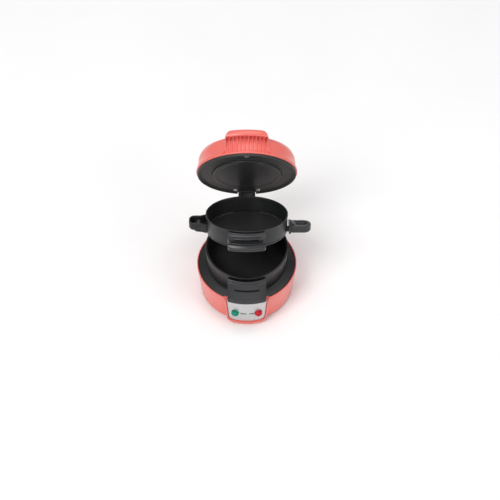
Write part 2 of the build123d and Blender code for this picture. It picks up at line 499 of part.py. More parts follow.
inner_cover = turned([(48.2, 112.2), (49.2, LID_Z), (68.0, LID_Z), (68.3, 112.3), (68.3, 112.7), (66.8, 112.7), (66.8, 114.4), (46.6, 114.4), (46.6, 113.2)])
inner_cover -= box(-12.9, 12.9, 57.6, 80, 100, 120) & cyl(65.2, 100, 120)
inner_cover -= cyl(1.55, 100, 120, 0, -60.0)
inner_cover += (cyl(4.2, 114.4, 115.2, 16.0, 56.0) + cyl(4.2, 114.4, 115.2, -16.0, 56.0)) - box(-12.9, 12.9, 57.6, 80, 100, 120)
for sx in (-1, 1):
    inner_cover -= cyl(1.55, 100, 120, sx * 16.0, 56.0)
parts["lid_inner_cover"] = inner_cover

parts["lid_front_screw"] = cyl(1.5, 111.8, 125.0, 0, -60.0) + (Pos(0, -60.0, 0) * turned([(0, 110.6), (1.6, 110.7), (2.8, 111.2), (3.1, 112.0), (0, 112.0)])) - box(-2.3, 2.3, -60.35, -59.65, 110, 111.2) - box(-0.35, 0.35, -62.3, -57.7, 110, 111.2)

top_plate = turned([(0, 110.0), (45.6, 110.0), (46.4, 110.8), (46.4, 114.45), (51.5, 114.45), (51.5, 116.0), (46.0, 117.0), (0, 117.0)])
parts["top_heating_plate"] = top_plate
top_element = heater(31.0, 3.2, 120.2, 9.0)
parts["top_heating_element"] = top_element
shield = turned([(0, 130.4), (45.0, 130.4), (50.6, 126.0), (51.4, 126.4), (45.6, 131.4), (0, 131.4)])
for ang in (60, 120):
    x, y = polar(31.0, ang)
    shield -= cyl(4.4, 120, 140, x, y)
shield += cyl(3.0, 117.05, 130.6, -15, 0) + cyl(3.0, 117.05, 130.6, 15, 0)
for sx in (-1, 1):
    shield -= cyl(4.6, 120, 140, sx * 16.0, 56.0)
parts["lid_heat_shield"] = shield
parts["lid_thermal_fuse"] = cyl_x(2.2, -8, 6, -16, 119.25) + cyl_x(0.6, -13, 11, -16, 119.25)

arm = plate_yz([(58.3, 80.0), (58.3, 115.25), (52.2, 115.25), (52.2, 118.2), (62.0, 118.2), (65.4, 116.0), (66.0, 112.0), (69.0, 100.0), (70.2, 80.0)], -12.0, 12.0)
arm += cyl_x(6.3, -12.0, 12.0, HINGE_Y, HINGE_Z)
arm += box(-20.4, 20.4, 52.2, 59.6, 115.25, 118.2)
arm = arm - (box(-7.5, 7.5, 50, 61.5, 92.0, 109.0))
arm -= cyl_x(BORE_R, -40, 40, HINGE_Y, HINGE_Z)
arm -= box(-13, 13, 40, 58.2, 100, 115.22)
for sx in (-1, 1):
    arm -= cyl(1.5, 100, 130, sx * 16.0, 56.0)
# keep the arm clear of the coloured wall above the rim
arm -= turned([(64.6, 111.0), (90, 111.0), (90, 130), (62.0, 130), (63.2, 120.6), (63.9, 116.6)])
parts["lid_hinge_arm"] = max(arm.solids(), key=lambda s: s.volume)
ls = []
for sx in (-1, 1):
    x = sx * 16.0
    s = cyl(1.5, 111.6, 128.0, x, 56.0) + (Pos(x, 56.0, 0) * turned([(0, 110.9), (2.4, 111.1), (3.0, 111.95), (0, 111.95)]))
    s -= box(x - 2.2, x + 2.2, 55.65, 56.35, 110, 111.4)
    ls.append(s)
parts["lid_hinge_screws"] = Compound(children=ls)

# ===========================================================================
# REST POSE AND EXPORT
# ===========================================================================
AXIS = Axis((0, HINGE_Y, HINGE_Z), (1, 0, 0))
RING_NODES = ["top_ring", "top_ring_handle", "top_handle_rivets", "pivot_lug", "plate_pivot_pin", "cooking_plate", "plate_handle", "plate_handle_rivets"]
LID_NODES = ["lid_shell", "lid_inner_cover", "lid_front_screw", "top_heating_plate", "top_heating_element", "lid_heat_shield", "lid_thermal_fuse", "lid_hinge_arm", "lid_hinge_screws"]

for name, shape in parts.items():
    solids = list(shape.solids()) if not isinstance(shape, Solid) else [shape]
    ang = RING_OPEN if name in RING_NODES else LID_OPEN if name in LID_NODES else 0.0
    out = []
    for s in solids:
        if ang:
            s = s.rotate(AXIS, -ang)
        out.append(s.moved(Location((-ORIGIN_X, -ORIGIN_Y, 0))))
    shape = out[0] if len(out) == 1 else Compound(children=out)
    export_step(shape, f"parts/{name}.step")
    bb = shape.bounding_box()
    print(f"{name:24s} solids {len(out)}  x {bb.min.X:7.2f}..{bb.max.X:7.2f}  y {bb.min.Y:7.2f}..{bb.max.Y:7.2f}  z {bb.min.Z:7.2f}..{bb.max.Z:7.2f}")
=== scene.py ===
import json
import math
import bpy
import bmesh
import numpy as np
from mathutils import Vector, Matrix


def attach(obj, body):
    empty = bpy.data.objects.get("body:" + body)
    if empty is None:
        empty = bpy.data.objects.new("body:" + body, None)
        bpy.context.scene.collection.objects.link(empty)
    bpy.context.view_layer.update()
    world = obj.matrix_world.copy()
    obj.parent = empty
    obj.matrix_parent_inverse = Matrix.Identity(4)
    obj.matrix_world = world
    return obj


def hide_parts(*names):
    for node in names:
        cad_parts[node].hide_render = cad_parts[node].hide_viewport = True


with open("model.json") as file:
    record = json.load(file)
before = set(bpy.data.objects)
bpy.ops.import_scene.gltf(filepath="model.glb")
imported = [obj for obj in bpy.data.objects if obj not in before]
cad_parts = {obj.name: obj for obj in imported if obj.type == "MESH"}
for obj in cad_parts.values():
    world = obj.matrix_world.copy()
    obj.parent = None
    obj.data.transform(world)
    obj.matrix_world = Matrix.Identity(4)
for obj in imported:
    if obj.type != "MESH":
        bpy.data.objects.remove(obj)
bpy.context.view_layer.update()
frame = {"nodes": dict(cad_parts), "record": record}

# ---------------------------------------------------------------------------
# Everything is drawn in millimetres in the "closed frame": the appliance shut,
# its base centred on x = y = 0 and standing on z = 0. to_row() swings a piece
# open about the rear hinge pin and moves it into the row frame in metres.
# ---------------------------------------------------------------------------
OX, OY = 4.35, 21.51
HY, HZ = 64.0, 80.0
RING = math.radians(23.5)
LID = math.radians(69.5)


def to_row(P, ang=0.0):
    P = np.array(P, float).reshape(-1, 3)
    if ang:
        dy, dz = P[:, 1] - HY, P[:, 2] - HZ
        P = np.stack([P[:, 0], HY + dy * math.cos(ang) + dz * math.sin(ang),
                      HZ - dy * math.sin(ang) + dz * math.cos(ang)], 1)
    return (P - np.array([OX, OY, 0.0])) * 0.001


# ---------------------------------------------------------------------------
# mesh helpers
# ---------------------------------------------------------------------------
def apply_modifiers(o):
    dg = bpy.context.evaluated_depsgraph_get()
    me = bpy.data.meshes.new_from_object(o.evaluated_get(dg))
    old = o.data
    mats = [m for m in old.materials]
    o.modifiers.clear()
    o.data = me
    if len(me.materials) == 0:
        for m in mats:
            me.materials.append(m)
    bpy.data.meshes.remove(old)
    me.name = o.name
    return o


def shade(o, sharp=38.0):
    me = o.data
    me.polygons.foreach_set("use_smooth", [True] * len(me.polygons))
    me.set_sharp_from_angle(angle=math.radians(sharp))
    me.update()


def new_object(name, P, F, mat, ang=0.0, sharp=38.0, fix_normals=True):
    me = bpy.data.meshes.new(name)
    me.from_pydata(to_row(P, ang).tolist(), [], F)
    if fix_normals:
        bm = bmesh.new()
        bm.from_mesh(me)
        bmesh.ops.remove_doubles(bm, verts=bm.verts, dist=1e-7)
        bmesh.ops.recalc_face_normals(bm, faces=bm.faces)
        bm.to_mesh(me)
        bm.free()
    me.validate()
    o = bpy.data.objects.new(name, me)
    bpy.context.scene.collection.objects.link(o)
    me.materials.append(mat)
    shade(o, sharp)
    return o


def bevel(o, width, segments=2, angle=32.0, sharp=38.0):
    """Rounds every edge sharper than angle by width (mm) and bakes it."""
    m = o.modifiers.new("bevel", "BEVEL")
    m.width = width * 0.001
    m.segments = segments
    m.limit_method = "ANGLE"
    m.angle_limit = math.radians(angle)
    m.harden_normals = False
    m.use_clamp_overlap = True
    apply_modifiers(o)
    shade(o, sharp)
    return o


def cut(o, *cutters, op="DIFFERENCE"):
    for c in cutters:
        m = o.modifiers.new("cut", "BOOLEAN")
        m.operation = op
        m.object = c
        m.solver = "EXACT"
        apply_modifiers(o)
        me = c.data
        bpy.data.objects.remove(c)
        bpy.data.meshes.remove(me)
    shade(o)
    return o


def join(name, *objs):
    """Several meshes become one object; materials are kept."""
    base = objs[0]
    bm = bmesh.new()
    mats = []
    for o in objs:
        remap = []
        for m in o.data.materials:
            if m not in mats:
                mats.append(m)
            remap.append(mats.index(m))
        start = len(bm.faces)
        bm.from_mesh(o.data)
        bm.faces.ensure_lookup_table()
        for f in bm.faces[start:]:
            f.material_index = remap[f.material_index] if f.material_index < len(remap) else 0
    me = bpy.data.meshes.new(name)
    bm.to_mesh(me)
    bm.free()
    for m in mats:
        me.materials.append(m)
    for o in objs[1:]:
        d = o.data
        bpy.data.objects.remove(o)
        bpy.data.meshes.remove(d)
    d = base.data
    base.data = me
    bpy.data.meshes.remove(d)
    base.name = name
    me.name = name
    return base


def rounded(pts, closed=True, seg=6):
    """A polygon of (x, y[, radius]) with its corners turned into arcs."""
    out = []
    n = len(pts)
    for i, p in enumerate(pts):
        r = p[2] if len(p) > 2 else 0.0
        P = np.array(p[:2], float)
        if r <= 0 or (not closed and i in (0, n - 1)):
            out.append(tuple(P))
            continue
        A = np.array(pts[i - 1][:2], float) - P
        B = np.array(pts[(i + 1) % n][:2], float) - P
        la, lb = np.linalg.norm(A), np.linalg.norm(B)
        ua, ub = A / la, B / lb
        ang = math.acos(max(-1.0, min(1.0, float(ua @ ub))))
        if ang > math.pi - 0.02:
            out.append(tuple(P))
            continue
        t = min(r / math.tan(ang / 2), 0.48 * la, 0.48 * lb)
        rr = t * math.tan(ang / 2)
        C = P + (ua + ub) / np.linalg.norm(ua + ub) * (rr / math.sin(ang / 2))
        a1 = math.atan2(*(P + ua * t - C)[::-1])
        a2 = math.atan2(*(P + ub * t - C)[::-1])
        d = (a2 - a1 + math.pi) % (2 * math.pi) - math.pi
        for k in range(seg + 1):
            a = a1 + d * k / seg
            out.append((C[0] + rr * math.cos(a), C[1] + rr * math.sin(a)))
    return out


def smooth(pts, per=6):
    """Centripetal-like Catmull-Rom curve through the rows of pts (any width)."""
    P = np.array(pts, float)
    P = np.vstack([2 * P[0] - P[1], P, 2 * P[-1] - P[-2]])
    out = []
    for i in range(1, len(P) - 2):
        p0, p1, p2, p3 = P[i - 1], P[i], P[i + 1], P[i + 2]
        for k in range(per):
            t = k / per
            out.append(0.5 * ((2 * p1) + (-p0 + p2) * t + (2 * p0 - 5 * p1 + 4 * p2 - p3) * t * t
                              + (-p0 + 3 * p1 - 3 * p2 + p3) * t ** 3))
    out.append(P[-2])
    return np.array(out)


def arc(cx, cy, r, a0, a1, n=6):
    return [(cx + r * math.cos(math.radians(a0 + (a1 - a0) * k / n)),
             cy + r * math.sin(math.radians(a0 + (a1 - a0) * k / n))) for k in range(n + 1)]


def revolve_data(prof, n=240, centre=(0.0, 0.0), closed=True):
    """Closed (or axis-to-axis) outline of (r, z) turned about a vertical axis."""
    P, F, rows = [], [], []
    for r, z in prof:
        if r < 1e-6:
            rows.append([len(P)])
            P.append((centre[0], centre[1], z))
        else:
            rows.append(list(range(len(P), len(P) + n)))
            for k in range(n):
                a = 2 * math.pi * k / n
                P.append((centre[0] + r * math.cos(a), centre[1] + r * math.sin(a), z))
    pairs = list(zip(rows, rows[1:])) + ([(rows[-1], rows[0])] if closed else [])
    for A, B in pairs:
        if len(A) == 1 and len(B) == 1:
            continue
        for k in range(n):
            k2 = (k + 1) % n
            if len(A) == 1:
                F.append((A[0], B[k2], B[k]))
            elif len(B) == 1:
                F.append((A[k], A[k2], B[0]))
            else:
                F.append((A[k], A[k2], B[k2], B[k]))
    return P, F


def revolve(name, prof, mat, ang=0.0, n=240, centre=(0.0, 0.0), closed=None, sharp=38.0):
    if closed is None:
        closed = not (prof[0][0] < 1e-6 and prof[-1][0] < 1e-6)
    P, F = revolve_data(prof, n, centre, closed)
    return new_object(name, P, F, mat, ang, sharp)


def along(P, origin, axis):
    """Points drawn about +Z moved so that +Z is axis and 0 is origin."""
    q = Vector((0, 0, 1)).rotation_difference(Vector(axis)).to_matrix()
    return (np.array(P, float) @ np.array(q).T) + np.array(origin, float)


def revolve_along(name, prof, mat, origin, axis, ang=0.0, n=64, sharp=38.0, closed=None):
    if closed is None:
        closed = not (prof[0][0] < 1e-6 and prof[-1][0] < 1e-6)
    P, F = revolve_data(prof, n, (0, 0), closed)
    return new_object(name, along(P, origin, axis), F, mat, ang, sharp)


def strip_faces(rows, wrap=False):
    F = []
    for A, B in zip(rows, rows[1:]):
        m = len(A)
        for k in range(m if wrap else m - 1):
            k2 = (k + 1) % m
            F.append((A[k], A[k2], B[k2], B[k]))
    return F


def sector_data(prof, half_w, ncol, wfun=None):
    """Closed (r, z) outline swept sideways round the Z axis at the front, for |x| up to half_w."""
    P, rows = [], []
    for j in range(ncol + 1):
        t = -1 + 2 * j / ncol
        row = []
        for r, z in prof:
            w = half_w if wfun is None else wfun(r, z)
            x = t * w
            row.append(len(P))
            P.append((x, -math.sqrt(max(r * r - x * x, 0)), z))
        rows.append(row)
    F = strip_faces(rows, wrap=True)
    F.append(tuple(rows[0]))
    F.append(tuple(reversed(rows[-1])))
    return P, F


def nested_data(outline, steps, height=None):
    """Loops of one closed outline (x, y), each offset inwards by d and set at height h: a soft-edged prism.
    height(x, y, h) may bend the loops."""
    O = np.array(outline, float)
    nxt, prv = np.roll(O, -1, 0), np.roll(O, 1, 0)
    e1, e2 = O - prv, nxt - O
    e1 /= np.maximum(np.linalg.norm(e1, axis=1, keepdims=True), 1e-9)
    e2 /= np.maximum(np.linalg.norm(e2, axis=1, keepdims=True), 1e-9)
    area = 0.5 * np.sum(O[:, 0] * nxt[:, 1] - nxt[:, 0] * O[:, 1])
    s = 1.0 if area > 0 else -1.0
    n1 = np.stack([-e1[:, 1], e1[:, 0]], 1) * s
    n2 = np.stack([-e2[:, 1], e2[:, 0]], 1) * s
    nn = n1 + n2
    nn /= np.maximum(np.linalg.norm(nn, axis=1, keepdims=True), 1e-9)
    nn /= np.maximum(np.sum(nn * n1, 1, keepdims=True), 0.35)
    P, rows = [], []
    for d, h in steps:
        row = []
        for q in O + nn * d:
            row.append(len(P))
            z = h if height is None else height(q[0], q[1], h)
            P.append((q[0], q[1], z))
        rows.append(row)
    F = strip_faces(rows, wrap=True)
    F.append(tuple(reversed(rows[0])))
    F.append(tuple(rows[-1]))
    return P, F


def quarter(d0, h0, d1, h1, n=5, flip=False):
    """Quarter round in (offset, height) from (d0, h0) to (d1, h1)."""
    out = []
    for k in range(n + 1):
        a = math.pi / 2 * k / n
        if flip:
            out.append((d0 + (d1 - d0) * math.sin(a), h0 + (h1 - h0) * (1 - math.cos(a))))
        else:
            out.append((d0 + (d1 - d0) * (1 - math.cos(a)), h0 + (h1 - h0) * math.sin(a)))
    return out


def box_data(x0, x1, y0, y1, z0, z1):
    P = [(x, y, z) for x in (x0, x1) for y in (y0, y1) for z in (z0, z1)]
    F = [(0, 1, 3, 2), (4, 6, 7, 5), (0, 4, 5, 1), (2, 3, 7, 6), (0, 2, 6, 4), (1, 5, 7, 3)]
    return P, F


def extrude_yz(pts, x0, x1):
    """Closed (y, z) outline between two x planes."""
    n = len(pts)
    P = [(x0, y, z) for y, z in pts] + [(x1, y, z) for y, z in pts]
    F = [(k, (k + 1) % n, n + (k + 1) % n, n + k) for k in range(n)]
    F.append(tuple(range(n)))
    F.append(tuple(reversed(range(n, 2 * n))))
    return P, F


def cad_piece(node, mat, width=0.35, segments=2, name=None, angle=32.0):
    """A copy of a CAD node's mesh, welded, its flat faces merged and its edges rounded."""
    src = frame["nodes"][node]
    bm = bmesh.new()
    bm.from_mesh(src.data)
    bm.transform(src.matrix_world)
    bmesh.ops.remove_doubles(bm, verts=bm.verts, dist=2e-6)
    bmesh.ops.dissolve_limit(bm, angle_limit=math.radians(0.6), verts=bm.verts, edges=bm.edges)
    bmesh.ops.recalc_face_normals(bm, faces=bm.faces)
    me = bpy.data.meshes.new(name or node + "_piece")
    bm.to_mesh(me)
    bm.free()
    o = bpy.data.objects.new(name or node + "_piece", me)
    bpy.context.scene.collection.objects.link(o)
    me.materials.append(mat)
    shade(o, 34.0)
    if width:
        bevel(o, width, segments, angle)
    return o


def put(o, body, slot, *nodes):
    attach(o, body)
    if nodes:
        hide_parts(*nodes)
    return o


# ---------------------------------------------------------------------------
# materials
# ---------------------------------------------------------------------------
class Mat:
    def __init__(self, name, **kw):
        self.m = bpy.data.materials.new(name)
        self.m.use_nodes = True
        self.nt = self.m.node_tree
        self.nt.nodes.clear()
        self.out = self.nt.nodes.new("ShaderNodeOutputMaterial")
        self.bsdf = self.nt.nodes.new("ShaderNodeBsdfPrincipled")
        self.nt.links.new(self.bsdf.outputs[0], self.out.inputs[0])
        self.tc = self.nt.nodes.new("ShaderNodeTexCoord")
        for k, v in kw.items():
            self.set(k.replace("_", " "), v)

    def set(self, key, v):
        sock = {s.name.lower(): s for s in self.bsdf.inputs}[key.lower()]
        if isinstance(v, (tuple, list)) and len(v) == 3 and sock.type == "RGBA":
            v = (*v, 1.0)
        sock.default_value = v

    def node(self, kind, **kw):
        n = self.nt.nodes.new(kind)
        for k, v in kw.items():
            setattr(n, k, v)
        return n

    def link(self, a, b):
        self.nt.links.new(a, b)

    def mapping(self, scale=(1, 1, 1), rot=(0, 0, 0), loc=(0, 0, 0)):
        mp = self.node("ShaderNodeMapping")
        mp.inputs["Scale"].default_value = scale
        mp.inputs["Rotation"].default_value = rot
        mp.inputs["Location"].default_value = loc
        self.link(self.tc.outputs["Object"], mp.inputs["Vector"])
        return mp.outputs["Vector"]

    def noise(self, scale, detail=3.0, rough=0.5, vec=None, distortion=0.0):
        n = self.node("ShaderNodeTexNoise")
        n.inputs["Scale"].default_value = scale
        n.inputs["Detail"].default_value = detail
        n.inputs["Roughness"].default_value = rough
        n.inputs["Distortion"].default_value = distortion
        self.link(vec if vec is not None else self.tc.outputs["Object"], n.inputs["Vector"])
        return n.outputs["Fac"]

    def ramp(self, fac, stops):
        r = self.node("ShaderNodeValToRGB")
        e = r.color_ramp.elements
        while len(e) < len(stops):
            e.new(0.5)
        for k, (p, c) in enumerate(stops):
            e[k].position = p
            e[k].color = (*c, 1.0) if len(c) == 3 else c
        self.link(fac, r.inputs["Fac"])
        return r.outputs["Color"]

    def to_range(self, fac, a, b, lo=0.0, hi=1.0):
        r = self.node("ShaderNodeMapRange")
        r.inputs["From Min"].default_value = lo
        r.inputs["From Max"].default_value = hi
        r.inputs["To Min"].default_value = a
        r.inputs["To Max"].default_value = b
        self.link(fac, r.inputs["Value"])
        return r.outputs["Result"]

    def bump(self, *layers):
        """layers of (height socket, strength, distance in mm)."""
        prev = None
        for h, strength, dist in layers:
            b = self.node("ShaderNodeBump")
            b.inputs["Strength"].default_value = strength
            b.inputs["Distance"].default_value = dist * 0.001
            self.link(h, b.inputs["Height"])
            if prev is not None:
                self.link(prev, b.inputs["Normal"])
            prev = b.outputs["Normal"]
        self.link(prev, self.bsdf.inputs["Normal"])

    def color(self, sock):
        self.link(sock, self.bsdf.inputs["Base Color"])

    def rough(self, sock):
        self.link(sock, self.bsdf.inputs["Roughness"])


def make_coral():
    m = Mat("coral_plastic", Specular_IOR_Level=0.42, Coat_Weight=0.14, Coat_Roughness=0.12, Subsurface_Weight=0.06,
            Subsurface_Radius=(1.0, 0.35, 0.25), Subsurface_Scale=0.002)
    big = m.noise(14.0, 2.0)
    fine = m.noise(900.0, 3.0)
    m.color(m.ramp(big, [(0.3, (0.79, 0.158, 0.130)), (0.7, (0.82, 0.172, 0.142))]))
    m.rough(m.to_range(m.noise(60.0, 2.0), 0.265, 0.295))
    m.bump((fine, 0.02, 0.015))
    return m.m


def make_black(name="black_plastic", base=(0.012, 0.012, 0.013), lo=0.34, hi=0.5, grain=1500.0, strength=0.25):
    m = Mat(name, Specular_IOR_Level=0.45)
    var = m.noise(40.0, 3.0)
    m.color(m.ramp(var, [(0.3, tuple(c * 0.85 for c in base)), (0.7, tuple(c * 1.2 for c in base))]))
    m.rough(m.to_range(m.noise(220.0, 4.0), lo, hi))
    m.bump((m.noise(grain, 3.0), strength, 0.06), (m.noise(60.0, 2.0), 0.05, 0.4))
    return m.m


def make_handle():
    """Charcoal phenolic: fine grain."""
    m = Mat("handle_plastic", Specular_IOR_Level=0.5)
    var = m.noise(55.0, 3.0)
    m.color(m.ramp(var, [(0.3, (0.020, 0.0203, 0.0225)), (0.7, (0.028, 0.0285, 0.031))]))
    m.rough(m.to_range(m.noise(260.0, 4.0), 0.27, 0.38))
    m.bump((m.noise(1300.0, 3.0), 0.12, 0.05), (m.noise(48.0, 2.0), 0.05, 0.4))
    return m.m


def make_ring():
    """Dark non-stick coating on a die-cast ring: soft sheen with fine speckle."""
    m = Mat("ring_coating", Metallic=0.25, Specular_IOR_Level=0.5, Coat_Weight=0.12, Coat_Roughness=0.35)
    v = m.noise(30.0, 4.0)
    sp = m.noise(1900.0, 2.0)
    m.color(m.ramp(v, [(0.3, (0.013, 0.0135, 0.0145)), (0.7, (0.020, 0.0205, 0.022))]))
    m.rough(m.to_range(m.noise(150.0, 5.0), 0.33, 0.46))
    m.bump((sp, 0.28, 0.04), (m.noise(70.0, 3.0), 0.08, 0.3))
    return m.m


def make_nonstick():
    m = Mat("nonstick_coating", Metallic=0.2, Specular_IOR_Level=0.5)
    v = m.noise(26.0, 4.0)
    sp = m.noise(2300.0, 2.0)
    m.color(m.ramp(v, [(0.3, (0.024, 0.0245, 0.0245)), (0.7, (0.034, 0.0345, 0.0345))]))
    m.rough(m.to_range(m.noise(180.0, 5.0), 0.30, 0.42))
    # faint turning marks round each plate's own centre are too fine to see: speckle carries the coating
    m.bump((sp, 0.35, 0.05), (m.noise(90.0, 3.0), 0.06, 0.3))
    return m.m


def make_panel():
    """Fine level brushing on the silver facing."""
    m = Mat("silver_panel", Metallic=0.85, Specular_IOR_Level=0.5, Anisotropic=0.35)
    vec = m.mapping(scale=(18, 18, 2600))
    br = m.noise(1.0, 4.0, 0.7, vec)
    m.color(m.ramp(br, [(0.25, (0.53, 0.53, 0.54)), (0.75, (0.66, 0.66, 0.67))]))
    m.rough(m.to_range(br, 0.30, 0.46))
    m.bump((br, 0.10, 0.03))
    return m.m


def make_steel(name="screw_steel", base=(0.62, 0.62, 0.63), lo=0.22, hi=0.36):
    m = Mat(name, Metallic=1.0)
    v = m.noise(300.0, 4.0)
    m.color(m.ramp(v, [(0.3, tuple(c * 0.9 for c in base)), (0.7, tuple(min(1, c * 1.08) for c in base))]))
    m.rough(m.to_range(m.noise(700.0, 4.0), lo, hi))
    m.bump((m.noise(1600.0, 2.0), 0.15, 0.02))
    return m.m


def make_lens(name, deep, light):
    """Coloured translucent lens: a deep body with lighter facets."""
    m = Mat(name, Roughness=0.12, Specular_IOR_Level=0.18, IOR=1.5)
    v = m.noise(420.0, 2.0, 0.4)
    m.color(m.ramp(v, [(0.35, deep), (0.62, light)]))
    m.link(m.ramp(v, [(0.35, tuple(c * 0.5 for c in deep)), (0.65, light)]), m.bsdf.inputs["Emission Color"])
    m.set("Emission Strength", 0.12)
    m.rough(m.to_range(m.noise(200.0, 2.0), 0.10, 0.18))
    return m.m


def make_glass():
    m = Mat("lamp_glass", Transmission_Weight=0.9, IOR=1.45)
    v = m.noise(200.0, 2.0)
    m.color(m.ramp(v, [(0.3, (0.92, 0.80, 0.68)), (0.7, (0.97, 0.88, 0.78))]))
    m.rough(m.to_range(v, 0.03, 0.08))
    return m.m


def make_heater():
    m = Mat("heater_steel", Metallic=0.8)
    v = m.noise(45.0, 4.0)
    m.color(m.ramp(v, [(0.25, (0.10, 0.085, 0.075)), (0.5, (0.22, 0.19, 0.17)), (0.75, (0.30, 0.25, 0.20))]))
    m.rough(m.to_range(m.noise(400.0, 4.0), 0.4, 0.6))
    m.bump((m.noise(1200.0, 3.0), 0.3, 0.04))
    return m.m


def make_plain(name, a, b, lo, hi, grain=900.0, strength=0.15):
    m = Mat(name, Specular_IOR_Level=0.45)
    m.color(m.ramp(m.noise(80.0, 3.0), [(0.3, a), (0.7, b)]))
    m.rough(m.to_range(m.noise(250.0, 3.0), lo, hi))
    m.bump((m.noise(grain, 3.0), strength, 0.05))
    return m.m


def make_floor():
    m = Mat("floor", Specular_IOR_Level=0.15)
    m.color(m.ramp(m.noise(6.0, 3.0), [(0.3, (0.93, 0.93, 0.93)), (0.7, (0.95, 0.95, 0.95))]))
    m.rough(m.to_range(m.noise(30.0, 3.0), 0.55, 0.7))
    return m.m


CORAL = make_coral()
BLACK = make_black()
HANDLE = make_handle()
RINGM = make_ring()
NONSTICK = make_nonstick()
PANEL = make_panel()
STEEL = make_steel()
DARK_STEEL = make_steel("dark_steel", (0.12, 0.12, 0.125), 0.35, 0.5)
COVERM = make_black("cover_plastic", (0.028, 0.029, 0.0285), 0.42, 0.56, 1500.0, 0.18)
# near-black paint for the faces inside the grips' slots: painted shade, not the plastic's own colour
SLOT_SHADE_PAINT = make_black("slot_painted_shade", (0.004, 0.004, 0.0045), 0.6, 0.75)
MARK = make_plain("printed_mark", (0.10, 0.10, 0.105), (0.14, 0.14, 0.145), 0.65, 0.8)
ALU = make_steel("bright_aluminium", (0.78, 0.79, 0.80), 0.28, 0.42)
GREEN = make_lens("green_lens", (0.0, 0.10, 0.052), (0.008, 0.33, 0.19))
RED = make_lens("red_lens", (0.28, 0.0, 0.008), (0.60, 0.012, 0.026))
GLASS = make_glass()
HEATER = make_heater()
RUBBER = make_plain("feet_rubber", (0.02, 0.02, 0.02), (0.03, 0.03, 0.03), 0.65, 0.85, 700.0, 0.4)
NYLON = make_plain("natural_plastic", (0.66, 0.62, 0.50), (0.74, 0.70, 0.58), 0.4, 0.55)
SLEEVE = make_plain("wire_sleeve", (0.72, 0.72, 0.68), (0.80, 0.80, 0.76), 0.45, 0.6)
SLOT_MAT = {
    "coral_plastic": CORAL, "black_plastic": BLACK, "handle_plastic": HANDLE, "natural_plastic": NYLON, "feet_rubber": RUBBER,
    "nonstick_coating": NONSTICK, "ring_coating": RINGM, "heater_steel": HEATER, "bright_aluminium": ALU, "silver_panel": PANEL,
    "green_lens": GREEN, "red_lens": RED, "lamp_glass": GLASS, "wire_sleeve": SLEEVE, "screw_steel": STEEL,
}
for sub in frame["record"]["subparts"]:
    o = frame["nodes"][sub["node"]]
    for s in o.material_slots:
        s.material = SLOT_MAT[sub["material_slot"]]

# ---------------------------------------------------------------------------
# BASE: bowl with the front pod
# ---------------------------------------------------------------------------
bowl_out = [tuple(p) for p in smooth([(66.0, 3.8), (66.15, 6.2), (66.35, 9.4), (66.6, 14.0), (66.95, 20.0), (67.6, 28.0), (68.35, 36.0), (69.05, 43.5), (69.45, 49.4)], 5)]
bowl_in = [tuple(p) for p in smooth([(67.7, 49.8), (66.8, 43.0), (65.7, 32.0), (64.6, 20.0), (63.9, 9.0), (63.6, 5.2)], 5)]
bowl_prof = ([(56.1, 2.5), (64.1, 2.45)] + arc(64.2, 4.3, 1.85, -90, -15, 6) + bowl_out + arc(68.85, 50.55, 0.62, 0, 90, 5) + arc(68.35, 50.6, 0.57, 90, 180, 4)
             + bowl_in + [(63.3, 5.0), (56.1, 5.0)])
bowl = revolve("base_bowl", bowl_prof, CORAL, n=288)

pod_outline = rounded([(30.8, 51.1, 1.0), (-30.8, 51.1, 1.0), (-27.6, 2.3, 9.5), (27.6, 2.3, 9.5)], seg=14)


def densify(pts, step):
    out = []
    n = len(pts)
    for i in range(n):
        a, b = np.array(pts[i]), np.array(pts[(i + 1) % n])
        k = max(1, int(np.linalg.norm(b - a) / step))
        for j in range(k):
            out.append(tuple(a + (b - a) * j / k))
    return out


pod_outline = densify(pod_outline, 1.6)
steps = [(0.0, 58.0), (0.0, 66.0), (0.0, 71.2)] + quarter(0.0, 71.2, 1.7, 73.0, 7)[1:] + [(2.45, 73.0)] + quarter(2.45, 73.0, 2.9, 72.55, 4, flip=True)[1:] + [(2.98, 71.2), (3.0, 70.45), (4.4, 70.4)]
P, F = nested_data(pod_outline, steps)
for k, (x, z, h) in enumerate(P):
    if steps[k // len(pod_outline)][0] > 2.0:                        # the lower lip is taller than the side lips
        t = max(0.0, min(1.0, (z - 4.0) / 17.0))
        P[k] = (x, z + 2.6 * (1 - t * t * (3 - 2 * t)), h)
    if z > 47.0 and h > 70.5:                                       # the lip is open at the top, where the facing runs out
        t = max(0.0, min(1.0, (abs(x) - 27.0) / 0.9))
        P[k] = (x, z, 70.5 + (h - 70.5) * t * t * (3 - 2 * t))
P = [(x, -math.sqrt(max(h * h - x * x, 1.0)), z) for x, z, h in P]
pod = new_object("base_pod", P, F, CORAL)
put(join("base_housing_shell", bowl, pod), "base", "coral_plastic", "base_housing")

# silver facing: a bent sheet with rounded lower corners and two lamp holes
panel_outline = rounded([(27.1, 50.7, 0.9), (-27.1, 50.7, 0.9), (-24.3, 9.0, 6.4), (24.3, 9.0, 6.4)], seg=12)


def half_width(outline, z):
    best = 0.0
    n = len(outline)
    for i in range(n):
        (x1, z1), (x2, z2) = outline[i], outline[(i + 1) % n]
        if min(z1, z2) - 1e-9 <= z <= max(z1, z2) + 1e-9:
            x = max(x1, x2) if abs(z2 - z1) < 1e-9 else x1 + (x2 - x1) * (z - z1) / (z2 - z1)
            best = max(best, x)
    return best


